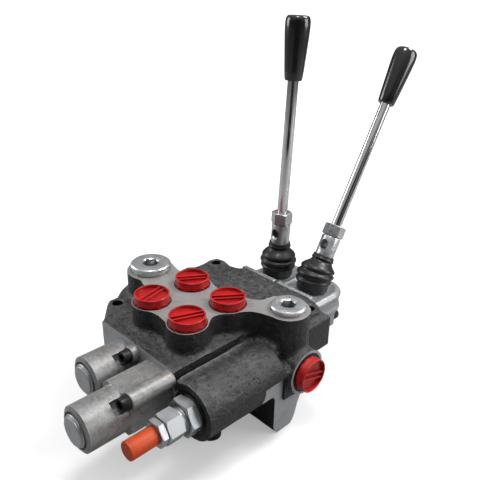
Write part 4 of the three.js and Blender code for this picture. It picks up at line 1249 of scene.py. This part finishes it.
def mill_body(casting):
    """Gives the milled planes of the casting their bright finish."""
    paint_faces(casting, finishes["port_face"], on_plane((0, 0, 1), 0))
    cut = {"plane_co": at(split_x, 0, 0), "plane_no": (1, 0, 0), "threshold": 1e-6}
    edit_all(casting, bpy.ops.mesh.bisect, **cut)
    milled = finishes["milled_side"]
    front, *others = machined_planes[1:]
    # Painted shade: right of split_x the milled front face round the relief boss keeps the dark
    # cast finish.
    paint_faces(casting, milled, lambda c, n: on_plane(*front)(c, n) and c.x < split_x * MM)
    sides = [on_plane(normal, offset) for normal, offset in others]
    sides += [on_plane((s, 0, 0), foot_half_width) for s in (1, -1)]
    paint_faces(casting, milled, lambda c, n: any(is_on(c, n) for is_on in sides))
    for face in casting.data.polygons:
        face.use_smooth = face.use_smooth and face.material_index == 0


casting = make_body()
finish_piece(casting, "housing", finishes["cast_iron"], "cast_iron", "valve_body")
shade(casting, 38)
mill_body(casting)
make_plugs()
make_socket_plugs()
make_caps()
make_relief_valve()
make_levers()

# Pieces still shown as they come from the frame get the finish that their slot names.
for made in nodes.values():
    if not made.hide_render:
        for holder in made.material_slots:
            slot_name = holder.material.name.split(".")[0]
            holder.material = finishes.get(slot_name, finishes["steel"])


# ---------------------------------------------------------------- floor, light and camera


def lay_floor():
    """White paper, lit up a little more for the lens alone so that it stays white."""
    put_down()
    bpy.ops.mesh.primitive_plane_add(size=60, location=(0, 0, floor_z - 0.05 * MM))
    floor = call_it("floor")
    material, tree, shader = new_finish("white_paper", 0.75, 0)
    shader["Emission Color"].default_value = (1, 1, 1, 1)
    seen = node(tree, "LightPath").outputs["Is Camera Ray"]
    away = node(tree, "VectorMath", {0: in_object(tree)}, operation="LENGTH").outputs["Value"]
    lift = spread(tree, away, 0.25, 1.4, 0.34, 1.0)
    tree.links.new(mixed(tree, seen, grey(0.3), grey(0.62)), shader["Base Color"])
    tree.links.new(work(tree, "MULTIPLY", seen, lift), shader["Emission Strength"])
    floor.data.materials.append(material)
    bpy.ops.object.transform_apply(location=True, scale=True)


def stand_black_card():
    """A black card before the valve that the metal mirrors and the lens looks through."""
    put_down()
    spot, width = (0.5, -0.46, 0.2), 0.8
    upright = (math.pi / 2, 0, math.radians(45))
    bpy.ops.mesh.primitive_plane_add(size=1, location=spot, rotation=upright)
    card = call_it("black_card")
    bpy.ops.transform.resize(value=(width, width, width), center_override=spot)
    material, _, shader = new_finish("black_card", 0.9, 0)
    shader["Base Color"].default_value = grey(0.01)
    card.data.materials.append(material)
    card.visible_camera = False
    card.visible_shadow = False
    bpy.ops.object.transform_apply(location=True, rotation=True, scale=True)


def hang_softbox(name, spot, width, power):
    """A square light that faces the origin."""
    light = bpy.data.lights.new(name, "AREA")
    light.shape = "SQUARE"
    light.size = width
    light.energy = power
    box = bring_in(name, light)
    box.location = spot
    box.rotation_euler = Vector(spot).to_track_quat("Z", "Y").to_euler()


def paint_sky():
    """An even studio dome, brightest straight up."""
    world = bpy.data.worlds.new("studio")
    bpy.context.scene.world = world
    world.use_nodes = True
    tree = world.node_tree
    facing = node(tree, "TexCoord").outputs["Generated"]
    height = node(tree, "SeparateXYZ", {0: facing}).outputs["Z"]
    glow = spread(tree, height, 0.0, 1.0, 0.05, 0.7)
    seen = node(tree, "LightPath").outputs["Is Camera Ray"]
    tree.links.new(work(tree, "MAXIMUM", glow, seen), tree.nodes["Background"].inputs["Strength"])
    tree.nodes["Background"].inputs["Color"].default_value = (1, 1, 1, 1)


def set_camera():
    turn, tilt, roll = 44.92, 24.46, 1.24
    lens = bpy.data.cameras.new("camera")
    lens.lens = 43.15
    lens.sensor_width = 36
    camera = bring_in("camera", lens)
    upright = Matrix.Rotation(math.pi / 2 - math.radians(tilt), 4, "X")
    aim = spin(turn) @ upright @ spin(roll)
    camera.matrix_world = Matrix.Translation((0.2815, -0.2320, 0.2156)) @ aim
    bpy.context.scene.camera = camera


lay_floor()
stand_black_card()
paint_sky()
hang_softbox("left_box", (-1.05, -0.45, 0.45), 0.6, 6)
hang_softbox("right_box", (0.85, 0.7, 0.4), 0.6, 6)
hang_softbox("rear_box", (0.3, 0.7, 0.95), 0.36, 9)
hang_softbox("top_box", (0.1, -0.1, 1.2), 0.3, 7)
set_camera()
bpy.context.scene.view_settings.view_transform = "Standard"
